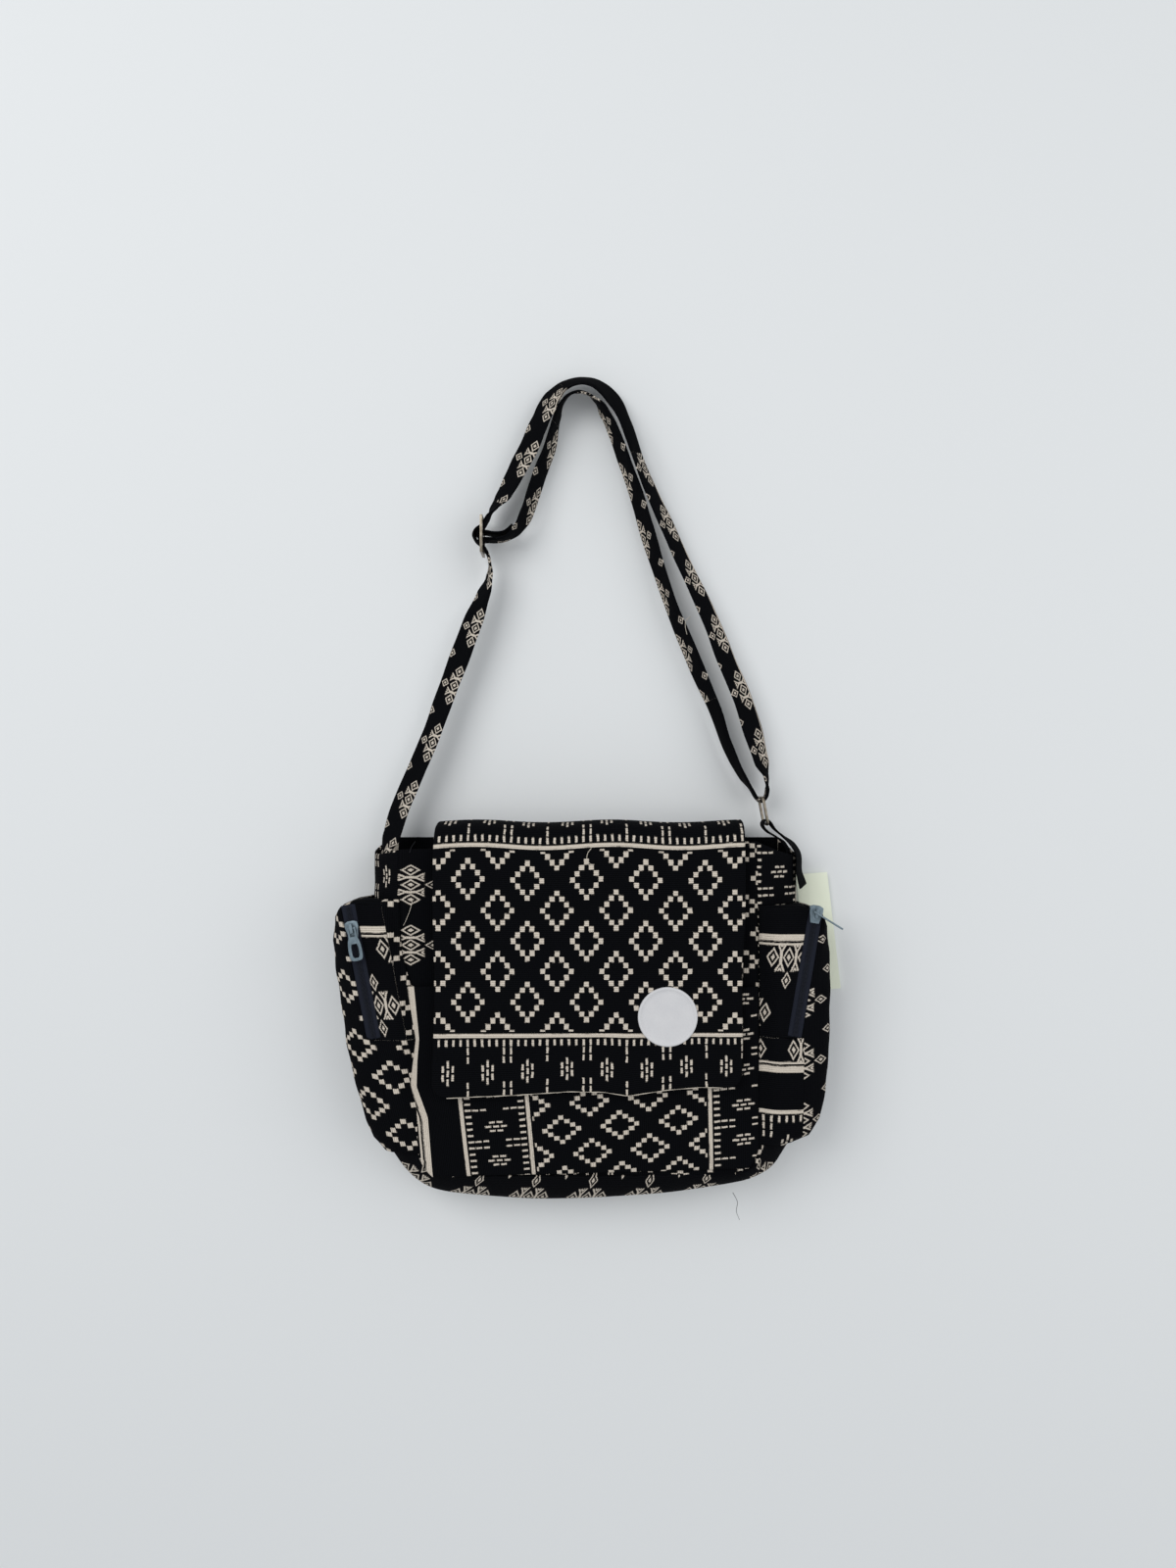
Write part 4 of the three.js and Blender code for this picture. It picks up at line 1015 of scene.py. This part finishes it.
def zip_points(zip_ends, down, aside, out):
    """Points this far down a zip from its top end, aside from its middle and out of the pocket."""
    up, outwards = unit(zip_ends[0] - zip_ends[1]), np.array([0.0, -1.0, 0.0])
    down, aside, out = (np.asarray(distance)[..., None] for distance in (down, aside, out))
    return zip_ends[0] - down * up + aside * np.cross(up, outwards) + out * outwards


COIL_PITCH, COIL_END, COIL_THREAD = 1.25, 1.5, 0.26  # the coil starts and stops a little inside the tape


def zip_half(name, zip_ends, side):
    """A tape whose inner edge rises a little under the coil, and its coil as a child."""
    length = np.linalg.norm(zip_ends[0] - zip_ends[1])
    down, share = np.meshgrid(steps(0, length, 120), steps(0, 1, 12), indexing="ij")
    offset = side * (0.3 + (ZIP_GAP / 2 + TAPE_W - 0.3) * share)
    ripple = 0.12 * np.sin(down / 9 + side) * share
    grid = zip_points(zip_ends, down, offset, ripple - 0.05 + 0.25 * np.exp(-share / 0.12))
    order = slice(None, None, 1 if side > 0 else -1)
    tape = thick_cloth(name, grid[:, order], 0.8, np.stack([down, offset], -1)[:, order])
    turns = (length - 2 * COIL_END) / COIL_PITCH
    angle = steps(0, 2 * np.pi * turns, int(turns * 10)) + (0 if side > 0 else np.pi)
    walk = steps(COIL_END, length - COIL_END, len(angle))
    helix = zip_points(zip_ends, walk, side + 1.25 * np.cos(angle), 1.15 + 0.55 * np.sin(angle))
    coil = tube(f"{name}_coil", helix, COIL_THREAD, sides=5)
    coil.parent = tape
    return tape, coil


tape_finish = Finish("slate zip tape")
tape_s, tape_t = tape_finish.cloth_lengths()
weave = tape_t.wave(0.9) * 0.5 + tape_s.wave(0.7) * 0.3
tape_base = (weave * 0.5 + 0.5 + (tape_finish.noise(900.0) - 0.5) * 0.6).clamped()
tape_finish.relief(weave, 0.0003, 0.5)
tape_colour = tape_finish.colour_mix(tape_base, srgb(22, 25, 33), srgb(36, 39, 50))
tape_material = tape_finish.set(Base_Color=tape_colour, Roughness=0.8, Specular_IOR_Level=0.1)
coil_finish = Finish("slate nylon coil")
coil_material = coil_finish.set(Base_Color=srgb(29, 32, 41), Roughness=0.6, Specular_IOR_Level=0.2)
for prefix, ends, outer in (("left", LEFT_ZIP, -1), ("right", RIGHT_ZIP, 1)):
    for role, side in (("outer", outer), ("inner", -outer)):
        node = f"{prefix}_zip_{role}_tape"
        tape, coil = zip_half(node, ends, side)
        dress(tape, tape_material, replaces=[node])
        paint(coil, coil_material)

# %% [markdown]
# ## Metal parts
# The sliders, pullers and adjuster keep the CAD shapes. Cast metal has no sharp edges, so each is copied with
# its doubled points merged, and a narrow bevel rounds the edges. The bevel is what catches the light on a
# small casting.


# %% Sliders, pullers, adjuster and ring
def softened(node, material, body, width):
    """A copy of a CAD node with merged points and a bevel of this width in metres on its sharp edges."""
    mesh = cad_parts[node].data.copy()
    mesh.name = node
    shape = bmesh.new()
    shape.from_mesh(mesh)
    bmesh.ops.remove_doubles(shape, verts=shape.verts, dist=0.000005)
    bmesh.ops.dissolve_limit(shape, angle_limit=0.02, verts=shape.verts, edges=shape.edges)
    shape.to_mesh(mesh)
    shape.free()
    for layer in list(mesh.uv_layers):
        mesh.uv_layers.remove(layer)
    made = bpy.data.objects.new(f"{node}_cast", mesh)
    bpy.context.collection.objects.link(made)
    mesh.polygons.foreach_set("use_smooth", np.ones(len(mesh.polygons), bool))
    bevel = made.modifiers.new("rounded edges", "BEVEL")
    bevel.width, bevel.segments = width, 3
    bevel.limit_method, bevel.angle_limit = "ANGLE", 0.5
    bevel.harden_normals = True
    return dress(made, material, body=body, replaces=[node])


def worn_metal(name, bright, dull, roughness, metallic):
    finish = Finish(name)
    patches = finish.noise(260.0, 4.0)
    colour = finish.colour_mix((patches * 1.6 - 0.3).clamped(), dull, bright)
    finish.relief(finish.noise(1800.0), 0.0001, 0.15)
    return finish.set(Base_Color=colour, Roughness=(patches * 0.25 + roughness), Metallic=metallic)


zip_metal = worn_metal("pale enamelled zip metal", srgb(128, 144, 152), srgb(88, 103, 112), 0.3, 0.5)
buckle_metal = worn_metal("aged nickel", srgb(168, 160, 146), srgb(104, 94, 78), 0.22, 0.95)
for prefix in ("left", "right"):
    softened(f"{prefix}_zip_slider", zip_metal, f"{prefix}_slider", 0.0007)
    softened(f"{prefix}_zip_puller", zip_metal, f"{prefix}_puller", 0.0005)
softened("strap_adjuster", buckle_metal, "adjuster", 0.0008)

RING_TOP, RING_BOTTOM = np.array([184.2, -4.0, -410.4]), np.array([189.2, -4.0, -437.0])
RING_W, RING_CORNER, WIRE = 30.0, 5.0, 3.0
RING_POINTS, WIRE_SIDES = 96, 14
ring_up = unit(RING_TOP - RING_BOTTOM)
turn = steps(0, 2 * np.pi, RING_POINTS + 1)[:-1]
signs = np.array([(1, 1), (-1, 1), (-1, -1), (1, -1)])[np.floor(turn / (np.pi / 2)).astype(int)]
ring_half = np.array([RING_W, np.linalg.norm(RING_TOP - RING_BOTTOM)]) / 2
corner = signs * (ring_half - RING_CORNER) + RING_CORNER * np.stack([np.cos(turn), np.sin(turn)], -1)
ring_line = (RING_TOP + RING_BOTTOM) / 2 + corner[:, :1] * np.array([0, 1, 0]) + corner[:, 1:] * ring_up
ring_tangent = unit(np.roll(ring_line, -1, axis=0) - np.roll(ring_line, 1, axis=0))
ring_side = np.broadcast_to(np.cross(ring_up, [0, 1, 0]), ring_line.shape)
ring_points = round_rings(ring_line, np.cross(ring_tangent, ring_side), ring_side, WIRE / 2, WIRE_SIDES)
ring_faces = quads_between(RING_POINTS + 1, WIRE_SIDES, wrap=True) % (RING_POINTS * WIRE_SIDES)
ring = piece_from("strap_ring", ring_points.reshape(-1, 3), ring_faces)
dress(ring, buckle_metal, replaces=["strap_ring"])

# %% [markdown]
# ## Badge
# The badge is a thick round of pale cloth with a satin-stitched rim. It is one profile turned about its
# middle. The rim's relief is a fine wave across the angle, and the face has a small even weave.

# %% Badge
BADGE_X, BADGE_Z = 86.0, -619.0
FLAP_FACE = -67.3  # y where the badge lies on the flap
STITCHES = 144
WEAVE = 0.0009  # metres
# a radius and a height for each point, from the middle of the face over the rim to the middle of the back
badge_radius, badge_height = np.array([
    (8, 1.1), (16, 1.1), (22, 1.1), (25.2, 1.12), (25.7, 1.5), (26.5, 1.85), (27.4, 1.9), (28.1, 1.6),
    (28.5, 1.0), (28.5, 0.3), (28.1, 0.05), (20, 0.0), (10, 0.0),
]).T[..., None]  # fmt: skip
spin = np.arange(2 * STITCHES) / STITCHES * np.pi
stitch = 0.13 * np.sin(spin * STITCHES) * np.exp(-(((badge_radius - 27.0) / 0.9) ** 2))
radius, height = badge_radius + stitch, badge_height + stitch * (badge_height > 0.4)
badge_x, badge_z = BADGE_X + radius * np.cos(spin), BADGE_Z + radius * np.sin(spin)
badge = closed_band("badge", np.stack([badge_x, FLAP_FACE - height, badge_z], -1))
badge_finish = Finish("pale badge cloth")
split = badge_finish.node("ShaderNodeSeparateXYZ", i0=badge_finish.place())
face_x, face_z = (badge_finish.value(split.outputs[i]) for i in (0, 2))
grain = face_x.wave(WEAVE) * face_z.wave(WEAVE)
badge_finish.relief(grain * 0.5 + badge_finish.noise(1500.0), 0.0002, 0.35)
badge_tone = badge_finish.colour_mix(badge_finish.noise(60.0, 3.0), srgb(196, 196, 198), srgb(210, 209, 209))
dress(badge, badge_finish.set(Base_Color=badge_tone, Roughness=0.85), replaces=["badge"])

# %% [markdown]
# ## Tag, string and loose threads
# The card tag and its string keep the CAD shapes. A few sewing threads that were never cut hang from the
# seams.

# %% Tag and threads
tag_finish = Finish("printed card")
tag_tone = tag_finish.colour_mix(tag_finish.noise(45.0, 3.0), srgb(230, 235, 212), srgb(238, 242, 222))
tag_material = tag_finish.set(Base_Color=tag_tone, Roughness=0.7)
string_material = Finish("black string").set(Base_Color=srgb(30, 31, 36), Roughness=0.9)
for node, material in (("swing_tag", tag_material), ("tag_string", string_material)):
    paint(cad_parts[node], material)
cream_thread = Finish("cream thread").set(Base_Color=srgb(205, 196, 180), Roughness=0.8)
black_thread = Finish("black thread").set(Base_Color=srgb(22, 23, 28), Roughness=0.8)
LOOSE_THREADS = (
    ("loose_thread_panel", cream_thread,
     [(-160, -50.6, -508), (-161.5, -52.5, -516), (-165, -53, -526), (-169, -51, -534)]),
    ("loose_thread_flap", cream_thread,
     [(13, -68, -458), (9.5, -69.4, -463), (9, -69.6, -469), (12.5, -69.2, -473), (16, -68.2, -473.5)]),
    ("loose_thread_hem", black_thread,
     [(150, -52, -792), (154, -55, -800), (153, -56, -809), (156, -56, -817)]),
    ("loose_thread_strap", cream_thread,
     [(113, -4, -228), (108, -10, -233), (107.5, -12, -240), (109, -13, -247)]),
    ("loose_thread_mouth", black_thread,
     [(-163, -50, -463), (-160.5, -52, -457), (-157, -52, -452)]),
)  # fmt: skip
HEM_POINTS = 300
hem_radius = 0.28 + 0.12 * np.sin(np.arange(HEM_POINTS) / 4.1)
hem_thread = tube("flap_hem_thread", even_curve(hem_line[::3], HEM_POINTS), hem_radius)
paint(hem_thread, cream_thread)
hem_thread.parent = flap
for name, material, points in LOOSE_THREADS:
    thread = tube(name, even_curve(points, 40), steps(0.3, 0.18, 40))
    paint(thread, material)
    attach(thread, "bag")


# %% [markdown]
# ## Light and wall
# The bag hung on a pale wall in soft daylight. The wall shows from its front side alone, so that the back of
# the bag can be looked at too. One large lamp from the upper left stands for the window, a weaker one fills
# in from the right, and the room gives an even grey-blue light.


# %% Stage
def lamp(name, place, size, power):
    """A square lamp at a place, turned towards the middle of the bag."""
    data = bpy.data.lights.new(name, "AREA")
    data.size, data.energy = size, power
    made = bpy.data.objects.new(name, data)
    made.location = place
    made.rotation_euler = (Vector((0, 0, -0.5)) - Vector(place)).to_track_quat("-Z", "Y").to_euler()
    bpy.context.collection.objects.link(made)


lamp("window", (-1.4, -2.2, 0.7), 1.8, 34)
lamp("fill", (1.6, -1.6, -0.2), 1.8, 12)
world = bpy.data.worlds.new("room")
world.use_nodes = True
room_light = world.node_tree.nodes["Background"].inputs
room_light["Color"].default_value = (0.93, 0.96, 1.0, 1)
room_light["Strength"].default_value = 0.62
bpy.context.scene.world = world
bpy.context.scene.view_settings.view_transform = "Standard"

wall_mesh = bpy.data.meshes.new("wall")
WALL_Y, WALL_REACH = 0.0215, 4
wall_corners = [(x * WALL_REACH, WALL_Y, z * WALL_REACH) for x, z in ((-1, -1), (1, -1), (1, 1), (-1, 1))]
wall_mesh.from_pydata(wall_corners, [], [(0, 1, 2, 3)])
wall_finish = Finish("pale wall")
wall_finish.set(Base_Color=srgb(220, 222, 222), Roughness=0.9)
see_through = wall_finish.node("ShaderNodeBsdfTransparent").outputs[0]
behind = wall_finish.node("ShaderNodeNewGeometry").outputs["Backfacing"]
opaque = wall_finish.shader.outputs[0]
one_sided = wall_finish.node("ShaderNodeMixShader", i0=behind, i1=opaque, i2=see_through)
wall_output = next(n for n in wall_finish.tree.nodes if n.bl_idname == "ShaderNodeOutputMaterial")
wall_finish.feed(wall_output.inputs["Surface"], one_sided.outputs[0])
wall_mesh.materials.append(wall_finish.material)
wall = bpy.data.objects.new("wall", wall_mesh)
bpy.context.collection.objects.link(wall)
wall.visible_diffuse = wall.visible_glossy = wall.visible_transmission = wall.visible_shadow = False
